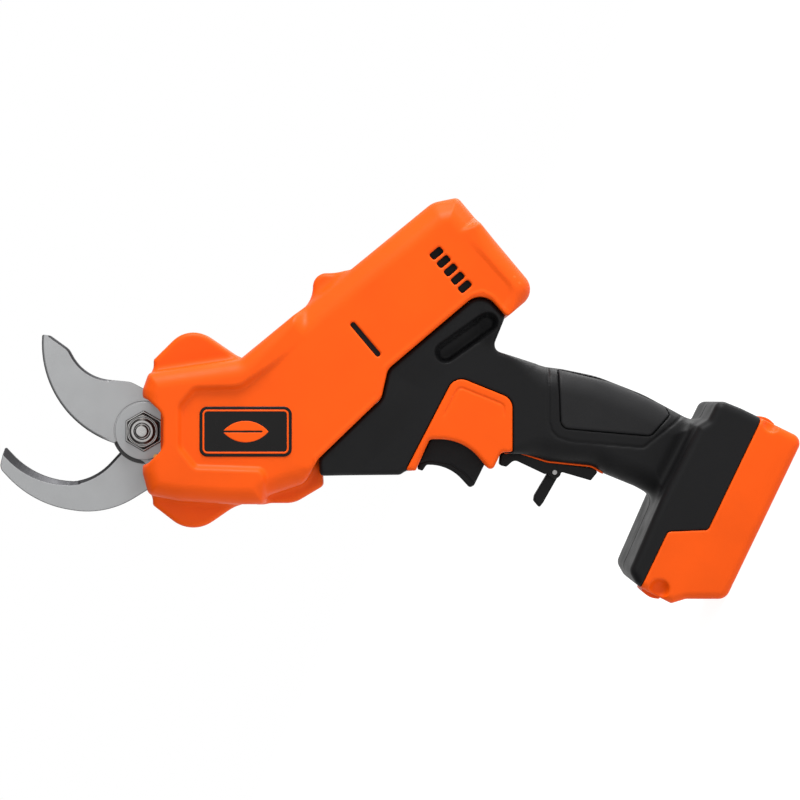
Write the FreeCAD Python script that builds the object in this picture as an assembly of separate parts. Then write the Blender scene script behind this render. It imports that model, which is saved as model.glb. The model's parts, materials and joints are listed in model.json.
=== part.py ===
"""Battery electric pruner: bypass blades, screw drive, motor, trigger handle and slide-on battery pack.

Frame, in millimetres: the tool stands on its battery. The origin is the middle of the pack's flat underside,
+Z is up through the handle to the cutting head, -X is the way the blades point, and Y is across the tool.
Three flat coordinate pairs are used for the side outlines, and each gives a row point (X, Z):
head(x, z)  has its origin on the blade pivot, x towards the battery along the level tool, z square to it,
tube(a, w)  has its origin on the blade pivot, a along the motor tube, w square to it,
and plain (X, Z) pairs, used for the foot and the battery pack.
"""
import FreeCAD, Part
import math
import os

V = FreeCAD.Vector

# Driving dimensions
STAND_ANGLE = 64.3        # turn of the head frame about Y when the tool stands on its pack, degrees
PIVOT = (-95.9, 300.5)    # blade pivot in the standing frame
TUBE_ANGLE = 40.2         # motor tube against the head frame's x, degrees
AXIS_W = -33.0            # screw, gear and motor centre line, w in the tube frame
WALL = 2.5                # moulded wall thickness
HEAD_HALF = 27.0          # half width of the cutting head and motor tube
NECK_HALF = 22.5          # half width of the black saddle under the tube
GRIP_HALF = 18.3          # half width of the handle
FOOT_HALF = 37.0          # half width of the foot and the pack
SEAM = 0.025              # gap between each half of a moulding and the Y = 0 plane

BLADE_NEAR, BLADE_FAR = -3.75, -0.45      # moving blade, across Y
ANVIL_NEAR, ANVIL_FAR = 0.3, 4.3          # fixed blade, across Y
BOLT_R = 4.0
BUSH_R = 6.0
TAIL_ARM = 22.0           # pivot to tail pin
TAIL_REST = -110.0        # tail direction against the tube axis with the blades open, degrees
TAIL_PIN_R = 2.5
PIN_PLAY = 0.35           # play of the tail pin in the yoke slot, each side
SCREW_R = 4.0
SCREW_LEAD = 5.0
MOUTH_HALF = 8.6          # half width of the opening that the blades and the yoke work in
RUNNING = 0.05            # radial clearance of running fits

MODULE = 0.75
SUN_TEETH, PLANET_TEETH, RING_TEETH = 12, 18, 48
PLANET_ORBIT = MODULE * (SUN_TEETH + PLANET_TEETH) / 2
PRESSURE_ANGLE = 25.0
PLANETS = 3

CELL_R, CELL_LENGTH = 9.0, 64.4
CELL_CENTRES = [(-22.5, 11.65), (-4.0, 11.65), (14.5, 11.65), (33.0, 11.65), (-36.5, 29.2)]

os.makedirs("parts", exist_ok=True)


def save(name, shape):
    """Write one sub-part, checking that it is sound."""
    solids = shape.Solids
    shape = solids[0] if len(solids) == 1 else Part.makeCompound(solids)
    if not solids or not shape.isValid():
        raise RuntimeError("bad shape: " + name)
    shape.exportStep("parts/" + name + ".step")


# Coordinates

def head(x, z):
    c = math.cos(math.radians(STAND_ANGLE))
    s = math.sin(math.radians(STAND_ANGLE))
    return (PIVOT[0] + c * x + s * z, PIVOT[1] - s * x + c * z)


def tube(a, w):
    c = math.cos(math.radians(TUBE_ANGLE))
    s = math.sin(math.radians(TUBE_ANGLE))
    return head(a * c - w * s, a * s + w * c)


def at(point, y):
    return V(point[0], y, point[1])


def direction(start, end):
    return (at(end, 0) - at(start, 0)).normalize()


AXIS_DIR = direction(tube(0, 0), tube(1, 0))
CROSS_DIR = direction(tube(0, 0), tube(0, 1))
Y_DIR = V(0, 1, 0)


# Building blocks

def outline(corners):
    """Closed wire in the Y = 0 plane. A corner is (point) or (point, radius), and a radius makes an arc."""
    points = [at(c[0], 0) for c in corners]
    radii = [c[1] if len(c) > 1 else 0 for c in corners]
    count = len(points)
    starts, ends, middles = [], [], []
    for i, p in enumerate(points):
        to_last = (points[i - 1] - p).normalize()
        to_next = (points[(i + 1) % count] - p).normalize()
        half = to_last.getAngle(to_next) / 2
        reach = radii[i] / math.tan(half) if radii[i] else 0
        starts.append(p + to_last * reach)
        ends.append(p + to_next * reach)
        middle = p
        if radii[i]:
            inward = (to_last + to_next).normalize()
            middle = p + inward * (radii[i] / math.sin(half) - radii[i])
        middles.append(middle)
    edges = []
    for i in range(count):
        following = (i + 1) % count
        run = starts[following] - ends[i]
        if run.dot(points[following] - points[i]) < -1e-6:
            raise RuntimeError("corner radii overlap at corner %d" % i)
        if radii[i]:
            edges.append(Part.Arc(starts[i], middles[i], ends[i]).toShape())
        if run.Length > 1e-6:
            edges.append(Part.makeLine(ends[i], starts[following]))
    return Part.Wire(edges)


def slab(wire, low, high, grow=0.0):
    """Solid between two Y planes with that outline, grown or shrunk by an offset."""
    if grow:
        wire = wire.makeOffset2D(grow)
    face = Part.Face(wire)
    face.translate(V(0, low, 0))
    return face.extrude(V(0, high - low, 0))


def fused(first, *others):
    return first.fuse(list(others)).removeSplitter() if others else first


def across(point, radius, low, high):
    """Cylinder along Y."""
    return Part.makeCylinder(radius, high - low, at(point, low), Y_DIR)


def along(a0, a1, radius, w=AXIS_W, y=0.0):
    """Cylinder along the motor tube."""
    return Part.makeCylinder(radius, a1 - a0, at(tube(a0, w), y), AXIS_DIR)


def ring_along(a0, a1, outer, inner):
    return along(a0, a1, outer).cut(along(a0 - 1, a1 + 1, inner))


def box(x0, x1, y0, y1, z0, z1):
    return Part.makeBox(x1 - x0, y1 - y0, z1 - z0, V(x0, y0, z0))


def hexagon(point, flats, low, high, turn=0.0):
    """Hexagonal prism along Y, across flats, with a corner turned from +X by that angle in the head frame."""
    radius = flats / math.sqrt(3)
    corners = []
    for i in range(6):
        angle = math.radians(60 * i + turn)
        corners.append((head(point[0] + radius * math.cos(angle), point[1] + radius * math.sin(angle)),))
    return slab(outline(corners), low, high)


def coil_spring(base, way, radius, wire_radius, length, turns):
    """Helical spring from base, along way, its wire in ten straight runs a turn."""
    runs = 10
    count = turns * runs
    points = []
    for i in range(count + 1):
        angle = 2 * math.pi * i / runs
        points.append(V(radius * math.cos(angle), radius * math.sin(angle), length * i / count))
    profile = Part.Wire(Part.makeCircle(wire_radius, points[0], points[1] - points[0]))
    mitred = 1
    spring = Part.makePolygon(points).makePipeShell([profile], True, False, mitred)
    spring.Placement = FreeCAD.Placement(base, FreeCAD.Rotation(V(0, 0, 1), way))
    return spring


def cable(points, radius, bend):
    """Round cable along straight runs joined by tangent arcs. Points are (X, Y, Z)."""
    stops = [V(*p) for p in points]
    edges = []
    last = stops[0]
    for before, corner, after in zip(stops, stops[1:], stops[2:]):
        to_last = (before - corner).normalize()
        to_next = (after - corner).normalize()
        half = to_last.getAngle(to_next) / 2
        start = corner + to_last * (bend / math.tan(half))
        end = corner + to_next * (bend / math.tan(half))
        middle = corner + (to_last + to_next).normalize() * (bend / math.sin(half) - bend)
        edges.append(Part.makeLine(last, start))
        edges.append(Part.Arc(start, middle, end).toShape())
        last = end
    edges.append(Part.makeLine(last, stops[-1]))
    profile = Part.Wire(Part.makeCircle(radius, stops[0], stops[1] - stops[0]))
    return Part.Wire(edges).makePipeShell([profile], True, True)


def involute_flank(teeth, thickness, root, tip, steps=4):
    """(radius, half angle) pairs up one side of a gear tooth."""
    pitch = MODULE * teeth / 2
    base = pitch * math.cos(math.radians(PRESSURE_ANGLE))

    def involute(radius):
        if radius <= base:
            return 0.0
        angle = math.acos(base / radius)
        return math.tan(angle) - angle

    half_at_pitch = thickness / 2 / pitch
    foot = max(base, root)
    pairs = [(root, half_at_pitch + involute(pitch) - involute(foot))] if root < foot else []
    for i in range(steps + 1):
        radius = foot + (tip - foot) * i / steps
        pairs.append((radius, half_at_pitch + involute(pitch) - involute(radius)))
    return pairs


def gear(teeth, thickness, root, tip, a0, a1, centre=(0.0, 0.0), phase=0.0):
    """Spur gear round the tube axis. centre is (across Y, across w), phase the first tooth's turn from +Y."""
    flank = involute_flank(teeth, thickness, root, tip)
    polar = []
    for i in range(teeth):
        middle = phase + 2 * math.pi * i / teeth
        polar += [(r, middle - h) for r, h in flank]
        polar += [(r, middle + h) for r, h in reversed(flank)]
    origin = at(tube(a0, AXIS_W), 0) + Y_DIR * centre[0] + CROSS_DIR * centre[1]
    points = [origin + Y_DIR * (r * math.cos(t)) + CROSS_DIR * (r * math.sin(t)) for r, t in polar]
    face = Part.Face(Part.makePolygon(points + points[:1]))
    return face.extrude(AXIS_DIR * (a1 - a0))


# Side outlines of the mouldings

BODY = outline([
    (head(1.0, -21.0), 5), (head(4.0, -32.0), 4), (head(20.0, -35.2), 15), (head(48.0, -36.8), 20),
    (head(75.0, -36.8), 14), (head(91.6, -27.4), 2.5), (head(89.6, -13.0), 7), (head(121.5, 16.8), 6),
    (head(124.8, 31.4), 7), (tube(177.8, -56.5), 9.5), (tube(178.2, -75.3), 2), (tube(198.8, -75.3), 9),
    (tube(199.0, -12.8), 3), (tube(187.5, -6.5), 12), (head(50.0, 36.4), 5), (head(4.0, 29.6), 3),
    (head(1.0, 21.0), 5)])

TOP_EAR = outline([
    (head(5.0, 28.0),), (head(5.0, 36.4), 1), (head(23.6, 54.8), 15), (head(49.0, 37.4), 2),
    (head(49.0, 28.0),)])

LOW_EAR = outline([
    (head(4.6, -28.0),), (head(4.6, -37.8), 2), (head(24.7, -53.4), 17), (head(49.5, -36.4), 2),
    (head(49.5, -28.0),)])

TUBE_EAR = outline([
    (head(86.5, 58.0),), (head(86.5, 80.6), 7), (head(103.6, 80.6), 1.5), (head(103.6, 70.0),)])

NOTCH = outline([
    (head(-8.0, -16.6),), (head(3.5, -16.6), 5), (head(12.0, -9.0), 9), (head(12.0, 9.0), 9),
    (head(3.5, 16.6), 5), (head(-8.0, 16.6),)])

SADDLE = outline([
    (head(90.6, -22.4), 2), (head(131.0, -22.0), 2), (head(133.6, -20.2), 1), (head(139.1, -20.2), 0.8),
    (head(146.1, -4.2), 2.2), (head(163.3, -4.2), 26), (head(177.3, -21.4), 2.4), (head(182.4, -10.8), 2.2),
    (head(200.0, -11.8), 10), (head(200.0, 33.8), 3), (head(177.4, 41.2), 4), (tube(177.8, -74.6), 1),
    (tube(177.4, -57.0), 9.3), (head(124.5, 31.2), 7.3), (head(121.2, 16.5), 6.3), (head(89.8, -13.6), 6)])

HANDLE = outline([
    (head(184.0, 0.0),), (head(184.0, -11.0), 1.5), (head(190.6, -10.4), 6), (head(206.0, -15.3), 8),
    (head(228.5, -17.6), 8), (head(236.0, -22.0), 5), (head(251.6, -28.4), 3), ((-13.2, 46.0),),
    ((30.0, 46.0),), ((31.5, 79.0), 60), ((29.6, 104.5), 60), (head(214.0, 31.6), 6),
    (head(205.0, 32.8), 6), (head(184.0, 38.8),)])

FOOT = outline([
    ((45.2, 23.5), 1.5), ((-16.4, 23.5), 3), ((-25.8, 41.1), 2), ((-55.8, 41.1), 1.2), ((-56.2, 43.8), 1.2),
    ((-52.2, 49.6), 5), ((-14.0, 51.0), 1), ((28.0, 50.0), 1), ((33.0, 46.8), 2), ((44.4, 46.8), 4),
    ((45.2, 34.0), 8)])

PACK = outline([
    ((-43.8, 0.0), 6), ((45.0, 0.0), 5), ((45.0, 23.25), 1.2), ((-16.6, 23.25), 3), ((-26.0, 40.85), 2),
    ((-57.2, 40.85), 1.5), ((-57.6, 23.6), 1.2), ((-52.4, 18.0), 3)])

PANEL = outline([
    (head(133.8, -19.9), 0.8), (head(138.9, -19.9), 0.8), (head(146.0, -4.0), 2.2), (head(163.2, -4.0), 26),
    (head(177.2, -21.1), 2.4), (head(182.0, -10.8), 2), (head(187.8, -10.2), 0.8), (head(187.8, 16.4), 7),
    (head(158.7, 28.2), 7)])

GRIP = outline([
    (head(211.2, 30.8), 1), (head(212.4, 1.8), 4), (head(257.5, -2.2), 3), (head(267.0, 7.8), 0.8),
    (head(265.6, 11.9), 0.8), (head(240.0, 23.6), 8)])

WEB_RECESS = outline([
    (head(150.5, 32.4), 4.3), (head(184.5, 55.8), 4.3), (head(179.4, 63.2), 4.3), (head(145.4, 39.8), 4.3)])


def halves(shape, extent=60.0):
    """The shape's two sides of the Y = 0 plane: (near side, -Y, and far side, +Y)."""
    span = (-250, 250, -30, 420)
    near = box(span[0], span[1], -extent, -SEAM, span[2], span[3])
    far = box(span[0], span[1], SEAM, extent, span[2], span[3])
    return shape.common(near), shape.common(far)


def stepped(wire, layers):
    """Both-sided solid from (half width, inset) layers, which rounds off the outer edges."""
    solids = [slab(wire, -half, half, -inset) for half, inset in layers]
    return fused(*solids)


# Screws that close the housing: (point, half width of the moulding there, head seat Y)
HOUSING_SCREWS = [
    (head(26.5, 42.5), 6.0), (head(25.5, -42.0), 6.0), (head(95.0, 73.5), 9.0), (tube(190.5, -66.0), 21.0),
    (head(79.0, -22.5), 17.0), (head(112.0, -12.0), 21.4), (head(196.0, 3.0), 15.6),
    (head(238.0, -13.0), 15.6), ((37.6, 40.6), 36.0), ((-45.0, 45.5), 36.0)]
SCREW_SHANK_R = 1.6
SCREW_HEAD_R = 3.0
SCREW_HEAD_H = 2.2
BOSS_R = 3.8


def screw_bosses(chosen):
    bosses = [across(point, BOSS_R, -half + 1, half - 0.2) for point, half in chosen]
    return bosses


def screw_bores(chosen):
    bores = []
    for point, half in chosen:
        bores.append(across(point, SCREW_SHANK_R + 0.1, -half + 3, half + 1))
        bores.append(across(point, SCREW_HEAD_R + 0.2, half - SCREW_HEAD_H - 0.6, half + 15))
    return bores


def housing_screws():
    screws = []
    for point, half in HOUSING_SCREWS:
        seat = half - SCREW_HEAD_H - 0.6
        shank = across(point, SCREW_SHANK_R, -half + 3.2, seat)
        cap = across(point, SCREW_HEAD_R, seat, seat + SCREW_HEAD_H)
        socket = across(point, 1.3, seat + 1, seat + SCREW_HEAD_H + 1)
        screws.append(shank.fuse(cap).cut(socket))
    save("housing_screws", Part.makeCompound(screws))


def lead_window():
    """Cutter for the opening between saddle and motor tube that the motor leads pass through."""
    window = outline([(head(96, -3),), (head(112, 12),), (head(118, 6),), (head(102, -9),)])
    return slab(window, -10.0, 10.0)


def body_shells():
    """Orange halves: cutting head, motor tube, three screw ears, blade mouth, vents and side slot."""
    outer = stepped(BODY, [(21.0, 0.0), (24.6, 1.6), (HEAD_HALF - 0.8, 4.0)])
    ears = [slab(TOP_EAR, -6.0, 6.0), slab(LOW_EAR, -6.0, 6.0), slab(TUBE_EAR, -9.0, 9.0)]
    outer = outer.fuse(ears)
    cavity = stepped(BODY, [(20.0, WALL), (HEAD_HALF - 0.8 - WALL, 7.0)])
    chosen = HOUSING_SCREWS[:5]
    for side in (-1, 1):
        low, high = sorted((side * MOUTH_HALF, side * 40.0))
        outer = outer.cut(slab(NOTCH, low, high))
        cavity = cavity.cut(slab(NOTCH, low, high, WALL))
    shell = outer.cut(cavity)
    shell = shell.fuse(screw_bosses(chosen)[3:])
    cutters = screw_bores(chosen)
    mouth = outline([(head(-6, -31.2),), (head(9, -31.2),), (head(9, 24.5),), (head(-6, 24.5),)])
    cutters.append(slab(mouth, -MOUTH_HALF, MOUTH_HALF))
    vent_a, vent_pitch = 173.0, 5.5
    for i in range(5):
        w = -27.0 - vent_pitch * i
        vent = outline([(tube(vent_a - 3.1, w - 1.4), 0.6), (tube(vent_a + 3.1, w - 1.4), 0.6),
                        (tube(vent_a + 3.1, w + 1.4), 0.6), (tube(vent_a - 3.1, w + 1.4), 0.6)])
        cutters.append(slab(vent, -40, 40))
    slot = outline([
        (tube(115.5, -27.0),), (tube(118.0, -27.0),), (tube(118.0, -48.8),), (tube(115.5, -48.8),)])
    cutters.append(slab(slot, -40, 40))
    cutters.append(lead_window())
    near, far = halves(shell.cut(cutters))
    save("body_shell_left", near)
    save("body_shell_right", far)


def handle_shells():
    """Black halves: saddle under the tube, handle and battery foot, with trigger opening and pack bay."""
    saddle = stepped(SADDLE, [(NECK_HALF - 4.0, 0.0), (NECK_HALF - 1.0, 1.2), (NECK_HALF, 3.0)])
    grip = stepped(HANDLE, [(GRIP_HALF - 7.0, 0.0), (GRIP_HALF - 3.0, 1.8), (GRIP_HALF, 6.0)])
    foot = stepped(FOOT, [(FOOT_HALF - 2.0, 0.0), (FOOT_HALF, 2.0)])
    outer = fused(saddle, grip, foot)
    hollow = fused(stepped(SADDLE, [(NECK_HALF - 6.0, WALL), (NECK_HALF - WALL, 5.6)]),
                   stepped(HANDLE, [(GRIP_HALF - 8.0, WALL), (GRIP_HALF - 4.6, 4.6)]),
                   slab(outline([(head(180, -7),), (head(196, -6.5),), (head(196, 30),), (head(180, 34),)]),
                        -GRIP_HALF + 5, GRIP_HALF - 5),
                   box(-9.0, 27.0, -GRIP_HALF + 6, GRIP_HALF - 6, 45.0, 58.0),
                   slab(FOOT, -FOOT_HALF + WALL, FOOT_HALF - WALL, -WALL))
    shell = outer.cut(hollow)
    chosen = HOUSING_SCREWS[5:]
    shell = shell.fuse(screw_bosses(chosen))
    cutters = screw_bores(chosen)
    trigger_mouth = outline([
        (head(137.6, -24),), (head(178.4, -24),), (head(178.4, -9.5),), (head(171.5, 0.5),),
        (head(147.3, 0.5),)])
    cutters.append(slab(trigger_mouth, -8.0, 8.0))
    cutters.append(box(-60.0, 41.0, -21.5, 21.5, 20.0, 35.5))
    cutters.append(lead_window())
    cutters.append(slab(BODY, -60.0, 60.0, 0.12))
    for side in (-1, 1):
        low, high = sorted((side * (GRIP_HALF - 2.4), side * 40.0))
        cutters.append(slab(PANEL, low, high, 0.12))
        low, high = sorted((side * (GRIP_HALF - 1.6), side * 40.0))
        cutters.append(slab(GRIP, low, high, 0.12))
        low, high = sorted((side * (NECK_HALF - 1.5), side * 40.0))
        cutters.append(slab(WEB_RECESS, low, high))
    near, far = halves(shell.cut(cutters))
    save("handle_shell_left", near)
    save("handle_shell_right", far)


def side_plates():
    """Trigger panels, grip pads and badges, one of each per side."""
    badge = outline([
        (head(30.2, -12.6), 4), (head(76.6, -12.6), 4), (head(76.6, 12.6), 4), (head(30.2, 12.6), 4)])
    for name, side in (("left", -1), ("right", 1)):
        low, high = sorted((side * (GRIP_HALF - 2.3), side * (GRIP_HALF + 0.6)))
        save("trigger_panel_" + name, slab(PANEL, low, high))
        low, high = sorted((side * (GRIP_HALF - 1.5), side * (GRIP_HALF + 0.9)))
        save("grip_pad_" + name, slab(GRIP, low, high))
        low, high = sorted((side * (HEAD_HALF - 0.8), side * (HEAD_HALF - 0.1)))
        save("badge_" + name, slab(badge, low, high))


def blades():
    """Moving blade with its tail arm, fixed hook blade, pivot hardware."""
    tail = math.radians(TAIL_REST + TUBE_ANGLE)
    pin = (TAIL_ARM * math.cos(tail), TAIL_ARM * math.sin(tail))
    side = (-math.sin(tail), math.cos(tail))
    blade = outline([
        (head(-15.4, -3.0), 3), (head(-16.4, -6.2), 1), (head(-27.5, -1.5), 20), (head(-39.5, 8.5), 20),
        (head(-48.8, 24.0), 20), (head(-52.6, 38.0), 15), (head(-51.8, 49.4), 0.8), (head(-47.0, 49.0), 3),
        (head(-37.8, 42.4), 4), (head(-33.5, 32.0), 12), (head(-23.0, 24.4), 10), (head(-9.0, 26.0), 8),
        (head(2.0, 20.5), 5), (head(10.0, 11.0), 5)])
    hub = across(head(0, 0), 15.0, BLADE_NEAR, BLADE_FAR)
    arm = outline([(head(pin[0] * k + side[0] * h, pin[1] * k + side[1] * h),)
                   for k, h in ((0.0, -9.0), (1.0, -5.0), (1.0, 5.0), (0.0, 9.0))])
    tip = across(head(*pin), 5.0, BLADE_NEAR, BLADE_FAR)
    moving = fused(slab(blade, BLADE_NEAR, BLADE_FAR), hub, slab(arm, BLADE_NEAR, BLADE_FAR), tip)
    moving = moving.cut([across(head(0, 0), BUSH_R, -9, 2), across(head(*pin), TAIL_PIN_R, -9, 2)])
    save("moving_blade", moving)
    save("tail_pin", across(head(*pin), TAIL_PIN_R, -8.4, BLADE_FAR))
    save("pivot_bushing", across(head(0, 0), BUSH_R, BLADE_NEAR, BLADE_FAR)
         .cut(across(head(0, 0), BOLT_R + RUNNING, -9, 2)))

    anvil = outline([
        (head(-72.6, -9.0), 0.8), (head(-64.0, -16.0), 15), (head(-50.5, -23.4), 25), (head(-33.0, -25), 25),
        (head(-20.0, -19.6), 10), (head(-12.0, -10.0), 4), (head(-10.0, 9.0), 8), (head(0.0, 13.5), 5),
        (tube(10.0, -8.0), 3), (tube(46.0, -8.0), 4), (tube(46.0, -25.0), 4), (tube(0.0, -25.0), 4),
        (head(4.0, -28.6), 3), (head(-8.5, -37.2), 6), (head(-30.0, -43.6), 25), (head(-55.0, -36.4), 25),
        (head(-74.4, -20.6), 4)])
    tang_holes = [across(tube(a, -16.5), 2.1, -2, 9) for a in (33.0, 42.0)]
    fixed = slab(anvil, ANVIL_NEAR, ANVIL_FAR).cut([across(head(0, 0), BOLT_R + RUNNING, -2, 9)] + tang_holes)
    save("counter_blade", fixed)

    shim = across(head(0, 0), 16.8, BLADE_FAR + RUNNING, ANVIL_NEAR)
    save("blade_shim", shim.cut(across(head(0, 0), BOLT_R + RUNNING, -2, 2)))

    head_face = 9.6
    bolt = across(head(0, 0), BOLT_R, -12.4, ANVIL_FAR).fuse(across(head(0, 0), BOLT_R - 0.7, -15.6, -12.4))
    bolt = bolt.fuse(hexagon((0, 0), 13.0, ANVIL_FAR, head_face, 30)).removeSplitter()
    save("pivot_bolt", bolt)
    bore = across(head(0, 0), BOLT_R + RUNNING, -20, 0)
    plate_far = BLADE_NEAR - 0.1
    save("lock_plate", hexagon((0, 0), 18.3, plate_far - 1.8, plate_far, 30).cut(bore))
    nut = hexagon((0, 0), 15.6, -10.8, plate_far - 1.8, 30).fuse(across(head(0, 0), 5.9, -12.3, -10.8))
    save("pivot_nut", nut.removeSplitter().cut(bore))


def drive_frame():
    """Die-cast bracket: flat plate that takes the counter blade and a ring seat for the screw bearing."""
    far = ANVIL_FAR + 4.0
    plate = outline([
        (tube(24.0, -8.5), 4), (tube(96.0, -8.5), 3), (tube(96.0, -24.8), 3), (tube(24.0, -24.8), 4)])
    bracket = slab(plate, ANVIL_FAR, far).fuse(along(86.0, 98.0, 19.0)).removeSplitter()
    cutters = [along(80.0, 96.0, 11.0), along(80.0, 100.0, 7.5)]
    cutters += [across(tube(a, -16.5), 2.1, 0, 12) for a in (33.0, 42.0)]
    save("drive_frame", bracket.cut(cutters))

    screws = []
    for a in (33.0, 42.0):
        shank = across(tube(a, -16.5), 2.0, ANVIL_NEAR, far + 1)
        cap = across(tube(a, -16.5), 3.6, far, far + 2.6).cut(across(tube(a, -16.5), 1.5, far + 1.4, far + 4))
        screws.append(shank.fuse(cap).cut(across(tube(a, -16.5), 1.5, far + 1.4, far + 4)))
    save("blade_screws", Part.makeCompound(screws))

    bearing = (87.0, 96.0)
    outer = ring_along(bearing[0], bearing[1], 11.0, 9.0)
    inner = ring_along(bearing[0], bearing[1], 6.4, 4.0)
    middle = (bearing[0] + bearing[1]) / 2
    ball_r = 1.6
    orbit = 7.7
    balls = []
    for i in range(9):
        angle = 2 * math.pi * i / 9
        across_y, across_w = orbit * math.cos(angle), orbit * math.sin(angle)
        centre = at(tube(middle, AXIS_W), 0) + Y_DIR * across_y + CROSS_DIR * across_w
        balls.append(Part.makeSphere(ball_r, centre))
    groove = Part.makeTorus(orbit, ball_r + 0.12, at(tube(middle, AXIS_W), 0), AXIS_DIR)
    save("bearing_outer_ring", outer.cut(groove))
    ball_track = ring_along(middle - 2.0, middle + 2.0, 9.0, orbit - ball_r - 0.15)
    save("bearing_inner_ring", inner.cut(ball_track))
    save("bearing_balls", Part.makeCompound(balls))


def screw_and_nut():
    """Threaded spindle, and the nut with the yoke plate that pulls the blade's tail pin."""
    front, seat = 12.0, 87.0
    root = SCREW_R - 0.9
    ridge = SCREW_LEAD / 2
    profile = [(front, 0.0), (front, root)]
    for i in range(int((seat - front) / ridge) - 1):
        a = front + 0.4 + ridge * i
        profile += [(a, root), (a + 0.35 * ridge, SCREW_R), (a + 0.65 * ridge, SCREW_R), (a + ridge, root)]
    profile += [(seat - 2.0, root), (seat - 2.0, 5.4), (seat, 5.4), (seat, 4.0), (103.0, 4.0), (103.0, 0.0)]
    points = [at(tube(a, AXIS_W + r), 0) for a, r in profile]
    face = Part.Face(Part.makePolygon(points + points[:1]))
    save("lead_screw", face.revolve(at(tube(0, AXIS_W), 0), AXIS_DIR, 360))

    rest_a = TAIL_ARM * math.cos(math.radians(TAIL_REST)) + PIN_PLAY / 2
    slot_half = TAIL_PIN_R + PIN_PLAY
    near, far = -8.2, -4.3
    yoke = outline([
        (tube(rest_a - slot_half - 2.2, -16.5), 1), (tube(rest_a - slot_half - 2.2, -28.2), 3),
        (tube(rest_a + 8.0, -39.0), 2), (tube(rest_a + 25.0, -39.0), 2), (tube(rest_a + 25.0, -27.0), 3),
        (tube(rest_a + slot_half + 3.4, -21.0), 3), (tube(rest_a + slot_half + 2.2, -12.5), 1)])
    slot = outline([(tube(rest_a - slot_half, -25.2), 2.6), (tube(rest_a + slot_half, -25.2), 2.6),
                    (tube(rest_a + slot_half, -5.0),), (tube(rest_a - slot_half, -5.0),)])
    nut = along(rest_a + 8.6, rest_a + 26.0, 7.0).common(
        slab(outline([(tube(-30, -45),), (tube(70, -45),), (tube(70, -20),), (tube(-30, -20),)]), -6.6, 6.6))
    carriage = slab(yoke, near, far).cut(slab(slot, near - 1, far + 1)).fuse(nut).removeSplitter()
    save("screw_nut", carriage.cut(along(-20, 80, SCREW_R + RUNNING)))


def gearbox():
    """Planetary stage: fixed ring gear in its housing, planets on the screw's carrier, and motor pinion."""
    thick = math.pi * MODULE / 2 - 0.09
    addendum, dedendum = 0.8 * MODULE, 1.12 * MODULE
    ring_pitch = MODULE * RING_TEETH / 2
    planet_pitch = MODULE * PLANET_TEETH / 2
    sun_pitch = MODULE * SUN_TEETH / 2
    teeth = (104.6, 113.4)
    bore = along(99.4, teeth[0] - 0.4, 17.0).fuse(along(teeth[1] + 0.4, 119.0, 17.0))
    cut_teeth = gear(RING_TEETH, thick + 0.18, ring_pitch - addendum, ring_pitch + dedendum,
                     teeth[0] - 0.5, teeth[1] + 0.5, phase=math.pi / RING_TEETH)
    case = along(98.1, 122.0, 21.0).cut([bore, cut_teeth, along(97.0, 100.0, 9.0), along(118.0, 123.0, 6.0)])
    save("gearbox_housing", case)

    carrier = along(99.8, 103.0, 15.6).cut(along(99.0, 104.0, 4.0))
    pins = []
    for k in range(PLANETS):
        turn = 2 * math.pi * k / PLANETS
        centre = (PLANET_ORBIT * math.cos(turn), PLANET_ORBIT * math.sin(turn))
        pins.append(along(102.0, 114.0, 1.5, AXIS_W + centre[1], centre[0]))
        planet = gear(PLANET_TEETH, thick, planet_pitch - dedendum, planet_pitch + addendum,
                      teeth[0], teeth[1], centre, turn + math.pi / PLANET_TEETH)
        planet = planet.cut(along(103.0, 116.0, 1.5 + RUNNING, AXIS_W + centre[1], centre[0]))
        save("planet_gear_%d" % (k + 1), planet)
    save("planet_carrier", carrier.fuse(pins))

    pinion = gear(SUN_TEETH, thick, sun_pitch - dedendum, sun_pitch + addendum, 103.8, 115.0)
    shaft = along(114.5, 190.0, 2.5)
    save("motor_shaft", pinion.fuse(shaft))


def motor():
    """Can with front and rear boss, plastic end cap, wound core and cooling fan."""
    can = along(122.1, 172.0, 18.0).cut([along(124.5, 173.0, 16.4), along(121.0, 130.0, 5.0)])
    can = can.fuse(ring_along(122.1, 126.0, 6.4, 2.6))
    save("motor_can", can)
    cap = along(172.1, 177.5, 17.6).fuse(along(166.0, 172.1, 16.3)).cut([along(160.0, 179.0, 2.6),
                                                                         along(165.0, 174.5, 14.4)])
    save("motor_end_cap", cap)
    core = ring_along(131.0, 158.0, 11.4, 2.5)
    slots = []
    for i in range(6):
        angle = math.pi * i / 3
        slots.append(along(130.0, 159.0, 1.9, AXIS_W + 10.6 * math.sin(angle), 10.6 * math.cos(angle)))
    save("rotor_core", core.cut(slots))
    hub = ring_along(180.0, 186.5, 4.6, 2.5)
    vanes = ring_along(185.0, 186.5, 14.5, 2.5)
    fan = hub.fuse(vanes)
    for i in range(9):
        blade = box(-0.6, 0.6, 3.8, 14.3, 0, 5.4)
        blade.rotate(V(0, 0, 0), V(0, 0, 1), 40.0 * i)
        blade.Placement = FreeCAD.Placement(at(tube(180.0, AXIS_W), 0),
                                            FreeCAD.Rotation(V(0, 0, 1), AXIS_DIR)).multiply(blade.Placement)
        fan = fan.fuse(blade)
    save("fan", fan.removeSplitter())


TRIGGER_WAY = (0.52, 0.855)     # travel of the trigger in the head frame


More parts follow.
